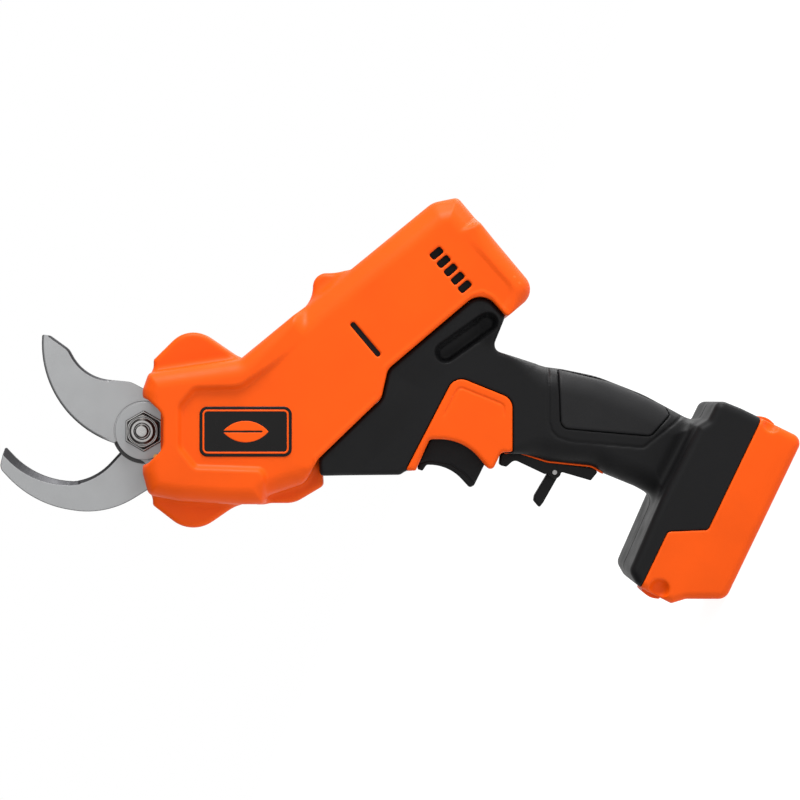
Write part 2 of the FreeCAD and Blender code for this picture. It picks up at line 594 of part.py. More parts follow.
def trigger_group():
    """Trigger, its return spring, the switch behind it and the speed control board."""
    trigger = outline([
        (head(149.7, -4.2), 1), (head(145.6, -7.0), 1), (head(140.2, -19.6), 0.8), (head(143.0, -20.4), 0.8),
        (head(146.0, -17.5), 2), (head(157.0, -19.6), 10), (head(166.0, -28.8), 1.5),
        (head(169.4, -26.6), 1.5),
        (head(173.8, -17.2), 1.5), (head(165.6, -8.4), 6), (head(164.4, 0.6), 1), (head(152.4, 0.6), 1)])
    base = head(157.6, -0.9)
    way = direction(head(0, 0), head(*TRIGGER_WAY))
    stem = Part.makeCylinder(2.2, 4.2, at(base, 0), way)
    piece = slab(trigger, -7.4, 7.4).fuse(stem).removeSplitter()
    save("trigger", piece)
    save("trigger_spring", coil_spring(at(head(159.6, 2.6), 0), way, 3.2, 0.4, 6.6, 5))
    body = outline([
        (head(156.8, 13.2), 1), (head(172.6, 3.6), 1), (head(182.2, 19.4), 1), (head(166.4, 29.0), 1)])
    save("switch_body", slab(body, -8.5, 8.5))
    board = outline([(head(119.0, -9.5), 0.5), (head(142.0, 12.6), 0.5), (head(140.9, 13.8), 0.5),
                     (head(117.9, -8.3), 0.5)])
    chips = []
    for x, z, half in ((124.0, -2.5, 4.0), (133.0, 6.2, 6.0)):
        chip = outline([(head(x - 2.6, z - 2.5),), (head(x + 2.6, z + 2.5),), (head(x + 1.0, z + 4.2),),
                        (head(x - 4.2, z - 0.8),)])
        chips.append(slab(chip, -half, half))
    save("control_board", slab(board, -15.0, 15.0).fuse(chips).removeSplitter())


def lock_lever():
    """Bar under the handle, the lever that folds against it, its pin and its spring."""
    bar = outline([
        (head(181.4, -16.8), 0.6), (head(183.8, -12.0), 0.8), (head(190.5, -11.1), 6),
        (head(205.6, -15.8), 8),
        (head(228.3, -18.0), 8), (head(234.4, -21.8), 0.8), (head(231.0, -22.2), 0.6),
        (head(228.4, -25.6), 1.5),
        (head(214.6, -21.0), 1.5), (head(205.3, -22.4), 1), (head(190.0, -15.2), 2), (head(185.6, -18.0), 1)])
    pivot = head(209.8, -21.0)
    lever_half = 3.6
    mount = slab(bar, -7.5, 7.5)
    mount = mount.fuse([across(pivot, 3.2, -7.5, -4.0), across(pivot, 3.2, 4.0, 7.5)])
    pocket = across(pivot, 5.2, -4.0, 4.0)
    swing = outline([
        (head(204.0, -19.8),), (head(226.0, -24.4),), (head(228.0, -34.0),), (head(200.0, -34.0),)])
    mount = mount.cut([pocket, slab(swing, -4.0, 4.0), across(pivot, 1.25, -9, 9),
                       slab(HANDLE, -9.0, 9.0, 0.1),
                       slab(SADDLE, -9.0, 9.0, 0.1)])
    save("lever_mount", mount)
    save("lever_pin", across(pivot, 1.2, -7.9, 7.9))
    lever = outline([
        (head(212.0, -23.2), 1), (head(207.6, -18.8), 1), (head(204.9, -23.0), 2), (head(198.6, -34.6), 1),
        (head(199.8, -38.8), 1.5), (head(202.8, -37.4), 1.5), (head(207.6, -28.2), 4)])
    arm = slab(lever, -lever_half, lever_half).fuse(across(pivot, 3.2, -lever_half, lever_half))
    save("lock_lever", arm.removeSplitter().cut(across(pivot, 1.2 + RUNNING, -9, 9)))
    save("lever_spring", coil_spring(at(pivot, 8.0), Y_DIR, 1.9, 0.3, 2.4, 3))


def wiring():
    """Leads clipped inside the housing, and the contact block that the pack plugs onto."""
    battery_leads, motor_leads = [], []
    rise = [(25.0, 38.9), (25.0, 48.0), (15.0, 65.0), head(236.0, -3.0), head(206.0, 6.0), head(186.0, 14.0)]
    for y in (-3.2, 3.2):
        battery_leads.append(cable([(x, y, z) for x, z in rise], 1.3, 5.0))
    run = [head(134.5, 10.8), head(120.0, -3.2), head(111.0, -1.5), head(100.0, 8.0)]
    for y in (-8.0, 8.0):
        motor_leads.append(cable([(x, y, z) for x, z in run], 1.0, 3.0))
    save("battery_leads", Part.makeCompound(battery_leads))
    save("motor_leads", Part.makeCompound(motor_leads))
    block = box(22.0, 33.0, -16.0, 16.0, 26.0, 38.8)
    pins = [box(8.0, 23.0, y - 0.4, y + 0.4, 27.6, 33.4) for y in (-12.0, -6.0, 6.0, 12.0)]
    sockets = [box(21.0, 23.0, y - 0.4, y + 0.4, 27.6, 33.4) for y in (-12.0, -6.0, 6.0, 12.0)]
    save("terminal_block", block.cut(sockets))
    save("terminal_blades", Part.makeCompound(pins))


TOWER_TOP = 34.6
# Latch buttons: (X of the case face, Z of the middle, way in along X, depth inside the face, spring lift,
# spring radius, spring length)
LATCHES = {"front": (-57.2, 32.0, 1, 2.2, 0.0, 2.4, 3.4), "rear": (45.0, 17.6, -1, 0.7, 3.0, 1.3, 2.2)}


def battery():
    """Slide-on pack: two cases, five cells in end holders, board, contacts and two latch buttons."""
    rails = box(-16.0, 40.0, -20.6, 20.6, 20.0, TOWER_TOP)
    rounded = stepped(PACK, [(FOOT_HALF - 2.5, 0.0), (FOOT_HALF, 2.5)])
    inner = stepped(PACK, [(FOOT_HALF - 4.6, WALL), (FOOT_HALF - WALL, 4.6)])
    bay = box(-14.0, 38.0, -18.4, 18.4, 15.0, TOWER_TOP - 2.0)
    whole = fused(rounded, rails).cut(inner.fuse(bay))
    split = 13.0
    cutters = []
    for x, z, way, *_ in LATCHES.values():
        first, last = sorted((x - way * 3, x + way * 8))
        cutters.append(box(first, last, -13.2, 13.2, z - 5.2, z + 5.2))
    contact_slots = [box(4.0, 42.0, y - 1.0, y + 1.0, 26.4, 33.6) for y in (-12.0, -6.0, 6.0, 12.0)]
    contact_slots.append(box(21.0, 42.0, -17.0, 17.0, 25.4, 40.0))
    low_half = box(-80, 80, -50, 50, -1, split - 0.1)
    high_half = box(-80, 80, -50, 50, split + 0.1, 60)
    screw_spots = [(-35.5, 31.5), (-35.5, -31.5)]
    bores = [Part.makeCylinder(1.7, 24.0, V(x, y, 3.0)) for x, y in screw_spots]
    heads = [Part.makeCylinder(3.2, 4.0, V(x, y, -1.0)) for x, y in screw_spots]
    posts = [Part.makeCylinder(3.4, 18.4, V(x, y, 1.0)) for x, y in screw_spots]
    whole = whole.fuse(posts)
    through = [Part.makeCylinder(1.7, 12.0, V(x, y, -1.0)) for x, y in screw_spots]
    lower = whole.common(low_half).cut(cutters + bores + heads + through)
    upper = whole.common(high_half).cut(cutters + bores + contact_slots)
    save("battery_lower_case", lower)
    save("battery_upper_case", upper)

    screws = []
    for x, y in screw_spots:
        cap = Part.makeCylinder(3.0, 1.8, V(x, y, 1.1)).cut(Part.makeCylinder(1.3, 1.2, V(x, y, 1.0)))
        screws.append(cap.fuse(Part.makeCylinder(1.6, 14.0, V(x, y, 2.9))))
    save("battery_screws", Part.makeCompound(screws))

    cells = []
    for x, z in CELL_CENTRES:
        can = across((x, z), CELL_R, -CELL_LENGTH / 2, CELL_LENGTH / 2)
        cells.append(can)
    save("battery_cells", Part.makeCompound(cells))
    plate = outline([((-13.6, 2.8), 1), ((37.6, 2.8), 1), ((37.6, 22.2), 0.5), ((-13.6, 22.2), 0.5)])
    holders = []
    for low, high in ((-17.0, -13.0), (13.0, 17.0)):
        pockets = [across(c, CELL_R + 0.1, low - 1, high + 1) for c in CELL_CENTRES]
        holder = slab(plate, low, high).cut(pockets)
        holders.append(max(holder.Solids, key=lambda solid: solid.Volume))
    save("cell_holder", Part.makeCompound(holders))
    save("pack_board", box(-12.0, 36.0, -17.6, 17.6, 22.4, 24.0))
    clips = []
    for y in (-12.0, -6.0, 6.0, 12.0):
        clip = box(7.0, 20.0, y - 0.9, y + 0.9, 24.1, 32.0).cut(box(4.0, 22.0, y - 0.5, y + 0.5, 27.4, 36.0))
        clips.append(clip)
    save("pack_contacts", Part.makeCompound(clips))

    for name, (x, z, way, depth, lift, radius, length) in LATCHES.items():
        proud = x - way * 2.9
        inside = x + way * depth
        cap = outline([((proud, z - 5.0), 1.5), ((proud, z + 5.0), 1.5), ((inside, z + 5.0), 0.3),
                       ((inside, z - 5.0), 0.3)])
        save("latch_button_" + name, slab(cap, -13.0, 13.0))
        start = V(inside + way * 0.3, 0, z + lift)
        save("latch_spring_" + name, coil_spring(start, V(way, 0, 0), radius, 0.3, length, 3))


body_shells()
handle_shells()
side_plates()
housing_screws()
blades()
drive_frame()
screw_and_nut()
gearbox()
motor()
trigger_group()
lock_lever()
wiring()
battery()
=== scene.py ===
"""Looks of the battery electric pruner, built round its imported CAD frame.

Lengths are in millimetres and are turned into metres when a mesh is made. Two frames are used for the side
view: the row frame's own (X, Z), and the head frame (x, z), which has its origin on the blade pivot and x
towards the battery along the level tool. Every piece is made as a distance field on a grid, negative inside:
walls, blends, grooves and pockets are simple fields put together, and the zero surface is then meshed.
"""
import json
import math

import bpy
import numpy as np
from mathutils import Matrix, Vector


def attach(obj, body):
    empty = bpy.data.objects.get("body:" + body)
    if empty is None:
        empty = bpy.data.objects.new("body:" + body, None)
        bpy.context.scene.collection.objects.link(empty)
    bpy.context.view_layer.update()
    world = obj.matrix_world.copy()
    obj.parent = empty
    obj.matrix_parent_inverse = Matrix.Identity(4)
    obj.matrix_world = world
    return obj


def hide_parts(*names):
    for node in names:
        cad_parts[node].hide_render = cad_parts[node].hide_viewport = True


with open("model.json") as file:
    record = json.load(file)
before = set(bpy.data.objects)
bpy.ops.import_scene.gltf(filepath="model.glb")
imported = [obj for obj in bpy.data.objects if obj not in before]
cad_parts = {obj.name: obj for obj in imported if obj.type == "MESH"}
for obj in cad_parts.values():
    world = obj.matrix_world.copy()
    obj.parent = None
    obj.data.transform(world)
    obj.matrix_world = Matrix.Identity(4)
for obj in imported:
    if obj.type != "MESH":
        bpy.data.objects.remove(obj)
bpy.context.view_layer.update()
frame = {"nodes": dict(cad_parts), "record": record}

MM = 0.001
STAND_ANGLE = math.radians(64.3)     # turn of the head frame about Y
TUBE_ANGLE = math.radians(40.2)      # motor tube against the head frame's x
PIVOT = (-95.9, 300.5)               # blade pivot in the row frame
WALL = 2.4
HOUSING_HALF = 24.6                  # half width of the orange housing at its name plate
SADDLE_HALF = 22.4                   # half width of the black saddle beside the housing
GRIP_HALF = 18.4
FOOT_HALF = 37.0
MOUTH_HALF = 8.6                     # half width of the opening that the blades work in
WINDOW_HALF = 10.0                   # half width of the window that the leads pass through
SEAM = 0.05                          # gap between a half and the middle plane
PLATE_PROUD = 0.45                   # how far trigger panels and grip pads stand above the handle
BIG_STEP, MID_STEP, FINE_STEP = 0.62, 0.42, 0.27    # grid steps
CHORD_ERROR = 0.02                   # how far an arc's straight steps may be off it


# Frames and outlines

def head(x, z, radius=0.0):
    return (x, z, radius)


def tube(a, w, radius=0.0):
    """Point given along (a) and across (w) the motor tube."""
    c, s = math.cos(TUBE_ANGLE), math.sin(TUBE_ANGLE)
    return (a * c - w * s, a * s + w * c, radius)


def row(x, z, radius=0.0):
    """Point given in the row frame, in head coordinates."""
    c, s = math.cos(STAND_ANGLE), math.sin(STAND_ANGLE)
    dx, dz = x - PIVOT[0], z - PIVOT[1]
    return (c * dx - s * dz, s * dx + c * dz, radius)


def to_row(points):
    """(x, y, z) head points in the row frame."""
    c, s = math.cos(STAND_ANGLE), math.sin(STAND_ANGLE)
    moved = points.copy()
    moved[:, 0] = PIVOT[0] + c * points[:, 0] + s * points[:, 2]
    moved[:, 2] = PIVOT[1] - s * points[:, 0] + c * points[:, 2]
    return moved


def rounded(corners):
    """Closed outline through (x, z, radius) corners, each radius swept as a tangent arc."""
    points = []
    count = len(corners)
    for i, (x, z, *more) in enumerate(corners):
        radius = more[0] if more else 0
        corner = np.array((x, z))
        if radius == 0:
            points.append((x, z))
            continue
        to_last = np.array(corners[i - 1][:2]) - corner
        to_next = np.array(corners[(i + 1) % count][:2]) - corner
        to_last /= np.linalg.norm(to_last)
        to_next /= np.linalg.norm(to_next)
        half = math.acos(max(-1.0, min(1.0, float(to_last @ to_next)))) / 2
        inward = (to_last + to_next) / np.linalg.norm(to_last + to_next)
        centre = corner + inward * radius / math.sin(half)
        first = corner + to_last * radius / math.tan(half) - centre
        sweep = math.pi - 2 * half
        sign = 1.0 if to_last[0] * to_next[1] - to_last[1] * to_next[0] < 0 else -1.0
        steps = max(1, math.ceil(sweep / (2 * math.acos(1 - CHORD_ERROR / max(radius, 0.3)))))
        for k in range(steps + 1):
            turn = sign * sweep * k / steps
            c, s = math.cos(turn), math.sin(turn)
            across, up = c * first[0] - s * first[1], s * first[0] + c * first[1]
            points.append((centre[0] + across, centre[1] + up))
    return points


# Distance fields

class Grid:
    """Regular grid over x, y and z spans, with flat (x, z) maps for outlines."""

    def __init__(self, x_span, y_span, z_span, step):
        self.step = step
        spans = (x_span, y_span, z_span)
        self.axes = [np.arange(low, high + step, step, dtype=np.float32) for low, high in spans]
        self.x, self.z = np.meshgrid(self.axes[0], self.axes[2], indexing="ij")
        self.y = self.axes[1][None, :, None]
        self.off = np.abs(self.y)


def lift(flat):
    """Flat (x, z) map as a field that is the same all across y."""
    return flat[:, None, :]


def line_distance(grid, points, closed=False):
    """Distance in the flat plane to a line of points."""
    ends = points[1:] + points[:1] if closed else points[1:]
    best = np.full(grid.x.shape, 1e9, np.float32)
    for start, end in zip(points, ends):
        ex, ez = end[0] - start[0], end[1] - start[1]
        wx, wz = grid.x - start[0], grid.z - start[1]
        share = np.clip((wx * ex + wz * ez) / max(ex * ex + ez * ez, 1e-9), 0, 1)
        best = np.minimum(best, (wx - share * ex) ** 2 + (wz - share * ez) ** 2)
    return np.sqrt(best)


def distance(grid, corners):
    """Signed distance in the flat plane to a rounded outline."""
    points = rounded(corners)
    inside = np.zeros(grid.x.shape, bool)
    for (ax, az), (bx, bz) in zip(points, points[1:] + points[:1]):
        if az != bz:
            reach = (bx - ax) * (grid.z - az) / (bz - az) + ax
            inside ^= ((az > grid.z) != (bz > grid.z)) & (grid.x < reach)
    away = line_distance(grid, points, closed=True)
    return np.where(inside, -away, away)


def ramp(value, low, high):
    """0 below low, 1 above high, and a smooth rise between."""
    share = np.clip((value - low) / (high - low), 0, 1)
    return share * share * (3 - 2 * share)


def join(a, b, blend):
    """Union with a fillet."""
    near = np.maximum(blend - np.abs(a - b), 0) / blend
    return np.minimum(a, b) - near * near * blend / 4


def overlap(a, b, blend):
    """Intersection with a rounded edge."""
    return -join(-a, -b, blend)


def carve(field, tool, blend=0.3):
    return -join(-field, tool, blend)


def plate(grid, flat, half, edge):
    """Outline extruded to a half width each side, its outer edges rounded. half and edge may be maps."""
    half = lift(half) if isinstance(half, np.ndarray) else half
    edge = lift(edge) if isinstance(edge, np.ndarray) else edge
    u = lift(flat) + edge
    v = grid.off - half + edge
    return np.minimum(np.maximum(u, v), 0) + np.hypot(np.maximum(u, 0), np.maximum(v, 0)) - edge


def slab(grid, flat, low, high, edge=0.2):
    """Outline extruded between two y planes."""
    middle, half = (low + high) / 2, (high - low) / 2
    u = lift(flat) + edge
    v = np.abs(grid.y - middle) - half + edge
    return np.minimum(np.maximum(u, v), 0) + np.hypot(np.maximum(u, 0), np.maximum(v, 0)) - edge


def disc(grid, centre, radius):
    return np.hypot(grid.x - centre[0], grid.z - centre[1]) - radius


def block(grid, x_span, z_span):
    """Flat distance to a rectangle."""
    dx = np.abs(grid.x - sum(x_span) / 2) - (x_span[1] - x_span[0]) / 2
    dz = np.abs(grid.z - sum(z_span) / 2) - (z_span[1] - z_span[0]) / 2
    return np.minimum(np.maximum(dx, dz), 0) + np.hypot(np.maximum(dx, 0), np.maximum(dz, 0))


def hexagon(grid, flats):
    """Flat distance to a hexagon round the pivot."""
    turns = [math.pi * k / 3 for k in range(3)]
    far = [np.abs(grid.x * math.cos(turn) + grid.z * math.sin(turn)) for turn in turns]
    return np.maximum.reduce(far) - flats / 2


def hollow(skin):
    return np.maximum(skin, -(skin + WALL))


# Meshing

SHIFTS = [(i, j, k) for i in (0, 1) for j in (0, 1) for k in (0, 1)]
AROUND = {0: [(0, 0, 0), (0, 1, 0), (0, 1, 1), (0, 0, 1)],
          1: [(0, 0, 0), (0, 0, 1), (1, 0, 1), (1, 0, 0)],
          2: [(0, 0, 0), (1, 0, 0), (1, 1, 0), (0, 1, 0)]}


def surface(grid, field):
    """Zero surface as vertices and quads: a vertex in each crossed cell, a quad over each crossed edge."""
    inside = field < 0
    shape = [n - 1 for n in field.shape]
    count = np.zeros(shape, np.int8)
    for i, j, k in SHIFTS:
        count += inside[i:i + shape[0], j:j + shape[1], k:k + shape[2]]
    crossed = (count > 0) & (count < 8)
    cells = np.nonzero(crossed)
    values = [field[cells[0] + i, cells[1] + j, cells[2] + k] for i, j, k in SHIFTS]
    total = np.zeros((len(cells[0]), 3))
    crossings = np.zeros(len(cells[0]))
    for a, first in enumerate(SHIFTS):
        for b in range(a + 1, 8):
            way = np.subtract(SHIFTS[b], first)
            if np.abs(way).sum() != 1:
                continue
            hit = (values[a] < 0) != (values[b] < 0)
            share = np.where(hit, values[a] / np.where(hit, values[a] - values[b], 1), 0)
            total += hit[:, None] * (np.array(first) + share[:, None] * way)
            crossings += hit
    low = np.array([axis[0] for axis in grid.axes])
    verts = low + (np.stack(cells, 1) + total / crossings[:, None]) * grid.step
    number = np.full(shape, -1, np.int64)
    number[cells] = np.arange(len(cells[0]))
    quads = []
    for axis, around in AROUND.items():
        before = [slice(1, -1)] * 3
        after = [slice(1, -1)] * 3
        before[axis], after[axis] = slice(None, -1), slice(1, None)
        here, there = inside[tuple(before)], inside[tuple(after)]
        spots = np.nonzero(here != there)
        quad = np.stack([number[spots[0] + i, spots[1] + j, spots[2] + k] for i, j, k in around], 1)
        outward = here[spots]
        quads.append(np.where(outward[:, None], quad, quad[:, ::-1]))
    return verts, np.concatenate(quads)


def piece(name, grid, field, body, slot, stands_for=(), far=False, in_row=False):
    """Mesh object of a field. far flips it to the +Y side; in_row says that its grid is in the row frame."""
    verts, quads = surface(grid, field)
    if far:
        verts[:, 1] *= -1
        quads = quads[:, ::-1]
    if not in_row:
        verts = to_row(verts)
    mesh = bpy.data.meshes.new(name)
    mesh.vertices.add(len(verts))
    mesh.vertices.foreach_set("co", (verts * MM).astype(np.float32).ravel())
    mesh.loops.add(quads.size)
    mesh.loops.foreach_set("vertex_index", quads.astype(np.int32).ravel())
    mesh.polygons.add(len(quads))
    mesh.polygons.foreach_set("loop_start", np.arange(0, quads.size, 4, dtype=np.int32))
    mesh.update(calc_edges=True)
    mesh.shade_smooth()
    obj = bpy.data.objects.new(name, mesh)
    bpy.context.scene.collection.objects.link(obj)
    mesh.materials.append(MATERIALS[slot])
    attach(obj, body)
    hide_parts(*stands_for)
    return obj


# Materials

def rgb(red, green, blue):
    """Linear colour from display values of 0 to 255."""
    def linear(value):
        value /= 255
        return value / 12.92 if value <= 0.04045 else ((value + 0.055) / 1.055) ** 2.4
    return (linear(red), linear(green), linear(blue), 1.0)


def noise(nodes, links, coords, scale, detail=4.0, stretch=(1.0, 1.0, 1.0), turn=0.0):
    """Noise in metres: scale is the number of bumps per metre, stretched along axes turned about Y."""
    mapping = nodes.new("ShaderNodeMapping")
    mapping.vector_type = "TEXTURE"
    mapping.inputs["Rotation"].default_value = (0, turn, 0)
    mapping.inputs["Scale"].default_value = stretch
    links.new(coords, mapping.inputs["Vector"])
    texture = nodes.new("ShaderNodeTexNoise")
    texture.inputs["Scale"].default_value = scale
    texture.inputs["Detail"].default_value = detail
    links.new(mapping.outputs["Vector"], texture.inputs["Vector"])
    return texture.outputs["Fac"]


def spread(nodes, links, fac, low, high, start=0.3, end=0.7):
    """A noise value spread from low to high."""
    node = nodes.new("ShaderNodeMapRange")
    node.inputs["From Min"].default_value = start
    node.inputs["From Max"].default_value = end
    node.inputs["To Min"].default_value = low
    node.inputs["To Max"].default_value = high
    links.new(fac, node.inputs["Value"])
    return node.outputs["Result"]


def finish_material(name, colour, rough, metallic=0.0, grain=2500, depth=0.03, edge_highlight=0.0, highlight_colour=None,
                    specular=0.5, stretch=(1.0, 1.0, 1.0), turn=0.0, shift=0.06, coat=0.0, painted_flank_shade=None):
    """Procedural finish: slow colour drift, uneven gloss, a fine surface grain and a painted highlight on
    convex edges.

    grain is the number of bumps per metre, depth their height in millimetres, and shift the share that the
    colour drifts by. The flank colour is painted shade on faces that are turned away from the Y direction.
    """
    material = bpy.data.materials.new(name)
    material.use_nodes = True
    nodes, links = material.node_tree.nodes, material.node_tree.links
    shader = nodes["Principled BSDF"]
    coords = nodes.new("ShaderNodeTexCoord").outputs["Object"]
    drift = noise(nodes, links, coords, 28, 3)
    mix = nodes.new("ShaderNodeMix")
    mix.data_type = "RGBA"
    mix.inputs["A"].default_value = tuple(c * (1 - shift) for c in colour[:3]) + (1,)
    mix.inputs["B"].default_value = tuple(min(1, c * (1 + shift)) for c in colour[:3]) + (1,)
    links.new(spread(nodes, links, drift, 0, 1), mix.inputs["Factor"])
    tint = mix.outputs["Result"]
    fine = noise(nodes, links, coords, grain, 3, stretch, turn)
    # Painted highlight: convex edges are lightened towards a lighter colour in noisy patches, standing in
    # for light caught on the edges
    if edge_highlight:
        edge = nodes.new("ShaderNodeNewGeometry").outputs["Pointiness"]
        edge = spread(nodes, links, edge, 0, edge_highlight, 0.53, 0.62)
        patchy = spread(nodes, links, noise(nodes, links, coords, 240, 6), 0.2, 1)
        amount = nodes.new("ShaderNodeMath")
        amount.operation = "MULTIPLY"
        links.new(edge, amount.inputs[0])
        links.new(patchy, amount.inputs[1])
        highlight_mix = nodes.new("ShaderNodeMix")
        highlight_mix.data_type = "RGBA"
        links.new(amount.outputs["Value"], highlight_mix.inputs["Factor"])
        links.new(tint, highlight_mix.inputs["A"])
        highlight_mix.inputs["B"].default_value = highlight_colour or tuple(min(1, c * 1.5 + 0.02) for c in colour[:3]) + (1,)
        tint = highlight_mix.outputs["Result"]
    # Painted shade: faces turned away from the Y direction are darkened to the flank colour
    if painted_flank_shade:
        split = nodes.new("ShaderNodeSeparateXYZ")
        links.new(nodes.new("ShaderNodeNewGeometry").outputs["Normal"], split.inputs["Vector"])
        size = nodes.new("ShaderNodeMath")
        size.operation = "ABSOLUTE"
        links.new(split.outputs["Y"], size.inputs[0])
        flank_shade_mix = nodes.new("ShaderNodeMix")
        flank_shade_mix.data_type = "RGBA"
        links.new(spread(nodes, links, size.outputs["Value"], 0, 1, 0.86, 0.97), flank_shade_mix.inputs["Factor"])
        flank_shade_mix.inputs["A"].default_value = painted_flank_shade
        links.new(tint, flank_shade_mix.inputs["B"])
        tint = flank_shade_mix.outputs["Result"]
    links.new(tint, shader.inputs["Base Color"])
    shader.inputs["Metallic"].default_value = metallic
    shader.inputs["Specular IOR Level"].default_value = specular
    shader.inputs["Coat Weight"].default_value = coat
    shader.inputs["Coat Roughness"].default_value = 0.2
    gloss = spread(nodes, links, noise(nodes, links, coords, 90, 5), rough - 0.06, rough + 0.06)
    links.new(gloss, shader.inputs["Roughness"])
    bump = nodes.new("ShaderNodeBump")
    bump.inputs["Strength"].default_value = 0.6
    bump.inputs["Distance"].default_value = depth * MM
    links.new(fine, bump.inputs["Height"])
    links.new(bump.outputs["Normal"], shader.inputs["Normal"])
    return material


# The lighter edge colours below are painted highlights on convex edges, and the flank colours of the two
# steels are painted shade
MATERIALS = {
    "orange_housing": finish_material("orange_housing", rgb(222, 79, 6), 0.45, edge_highlight=0.2, depth=0.03,
                                      specular=0.12, highlight_colour=rgb(255, 140, 80)),
    "black_housing": finish_material("black_housing", rgb(17, 17, 18), 0.5, edge_highlight=0.35, depth=0.05,
                                     specular=0.14, highlight_colour=rgb(60, 60, 60)),
    "rubber_grip": finish_material("rubber_grip", rgb(25, 25, 26), 0.6, depth=0.09, grain=1500, edge_highlight=0.35,
                                   specular=0.18, highlight_colour=rgb(56, 56, 56)),
    "badge": finish_material("badge", rgb(14, 13, 13), 0.3, depth=0.005, specular=0.16),
    "blade_steel": finish_material("blade_steel", rgb(152, 153, 154), 0.42, 0.7, 1800, 0.006, shift=0.02,
                                   stretch=(14.0, 1.0, 1.0), turn=-STAND_ANGLE, painted_flank_shade=rgb(46, 46, 48)),
    "hardware_steel": finish_material("hardware_steel", rgb(156, 155, 154), 0.3, 0.9, 3000, 0.008,
                                      painted_flank_shade=rgb(46, 42, 40)),
    "dark_steel": finish_material("dark_steel", rgb(92, 92, 94), 0.34, 1.0, 3000, 0.01, 0.5),
    "cast_alloy": finish_material("cast_alloy", rgb(170, 171, 173), 0.5, 1.0, 1400, 0.05),
    "motor_steel": finish_material("motor_steel", rgb(150, 152, 155), 0.32, 1.0, 2600, 0.008),
    "bronze": finish_material("bronze", rgb(186, 140, 78), 0.4, 1.0, 2200, 0.03),
    "gear_steel": finish_material("gear_steel", rgb(138, 139, 142), 0.34, 1.0, 2800, 0.01, 0.4),
    "nylon": finish_material("nylon", rgb(40, 40, 41), 0.45, depth=0.02),
    "pale_plastic": finish_material("pale_plastic", rgb(222, 218, 208), 0.5, depth=0.02),
    "board": finish_material("board", rgb(20, 92, 52), 0.3, depth=0.02, coat=0.4),
    "contacts": finish_material("contacts", rgb(206, 168, 96), 0.25, 1.0, 2600, 0.01),
    "cable": finish_material("cable", rgb(150, 22, 20), 0.45, depth=0.01),
    "cell_wrap": finish_material("cell_wrap", rgb(30, 92, 148), 0.25, depth=0.01, coat=0.5),
    "spring_steel": finish_material("spring_steel", rgb(196, 196, 198), 0.28, 1.0, 2600, 0.008),
}


# Outlines

# Each outline is a list of corners, and a corner's last number is its radius
BODY = [head(1.0, -21.0, 5), head(4.0, -32.0, 4), head(20.0, -35.2, 15), head(48.0, -36.8, 20),
        head(62.8, -36.8, 3), head(64.2, -32.4, 2), head(82.4, -26.4, 8), head(89.8, -13.8, 5),
        head(121.5, 16.8, 6), head(124.8, 31.4, 7), tube(177.8, -56.5, 9.5), tube(178.2, -75.3, 2),
        tube(198.8, -75.3, 9), tube(199.0, -12.8, 3), tube(187.5, -6.5, 12), head(50.0, 36.4, 5),
        head(4.0, 29.6, 3), head(1.0, 21.0, 5)]
BORDER = [head(91.6, -20.0), head(89.8, -13.8), head(121.5, 16.8), head(124.8, 31.4), tube(171.0, -56.5),
          tube(176.0, -58.6), tube(178.0, -63.0), tube(178.2, -79.0)]
FLANGE = [head(58.0, -28.0), head(58.0, -36.8), head(77.0, -36.8, 14), head(91.8, -28.0, 2.5),
          head(91.4, -20.6, 1), head(91.0, -13.0), head(80.0, -18.0)]
TOP_EAR = [head(5.0, 26.0), head(5.0, 36.4, 1), head(23.6, 54.8, 15), head(49.0, 37.4, 2), head(49.0, 26.0)]
LOW_EAR = [head(4.6, -26.0), head(4.6, -37.8, 2), head(24.7, -53.4, 17), head(49.5, -36.4, 2),
           head(49.5, -26.0)]
TUBE_EAR = [head(86.5, 58.0), head(86.5, 80.6, 7), head(103.6, 80.6, 1.5), head(103.6, 66.0)]
NOTCH = [head(-8.0, -16.6), head(3.5, -16.6, 5), head(12.0, -9.0, 9), head(12.0, 9.0, 9),
         head(3.5, 16.6, 5), head(-8.0, 16.6)]
MOUTH = [head(-6.0, -31.2), head(9.0, -31.2), head(9.0, 24.5), head(-6.0, 24.5)]
NAME_PANEL = [head(28.2, -17.8, 4), head(20.4, -8.0, 6), head(20.4, 12.6, 6), head(27.8, 21.4, 5),
              head(50.6, 22.0, 10), head(67.9, 33.8), tube(110.0, -17.5, 10), tube(188.0, -17.5, 8),
              tube(190.0, -68.0, 8), tube(150.0, -78.0, 10), head(110.0, -14.0), head(95.0, -40.0),
              head(63.0, -40.0), head(63.0, -19.0, 4)]
SADDLE = [head(90.6, -22.4, 2), head(131.0, -22.0, 3), head(133.6, -20.2, 1), head(139.1, -20.2, 0.8),
          head(146.1, -4.2, 2.2), head(163.3, -4.2, 26), head(177.3, -21.4, 2.4), head(182.4, -10.8, 2.2),
          head(200.0, -11.8), head(200.0, 33.8), head(177.4, 41.2, 4.5), tube(177.8, -74.6, 1),
          tube(177.4, -57.0, 9.3), head(124.9, 31.2, 7.3), head(121.6, 16.5, 6.3), head(89.8, -13.6, 6)]
HANDLE = [head(180.0, 0.0), head(183.6, -11.0, 1.5), head(190.6, -10.4, 8), head(206.0, -15.3, 8),
          head(228.5, -17.6, 8), head(236.0, -22.0, 5), head(251.6, -28.4, 3), row(-13.2, 46.0),
          row(30.0, 46.0), row(31.5, 79.0, 60), row(29.6, 104.5, 60), head(214.0, 31.6, 6),
          head(205.0, 32.8, 6), head(180.0, 40.0)]
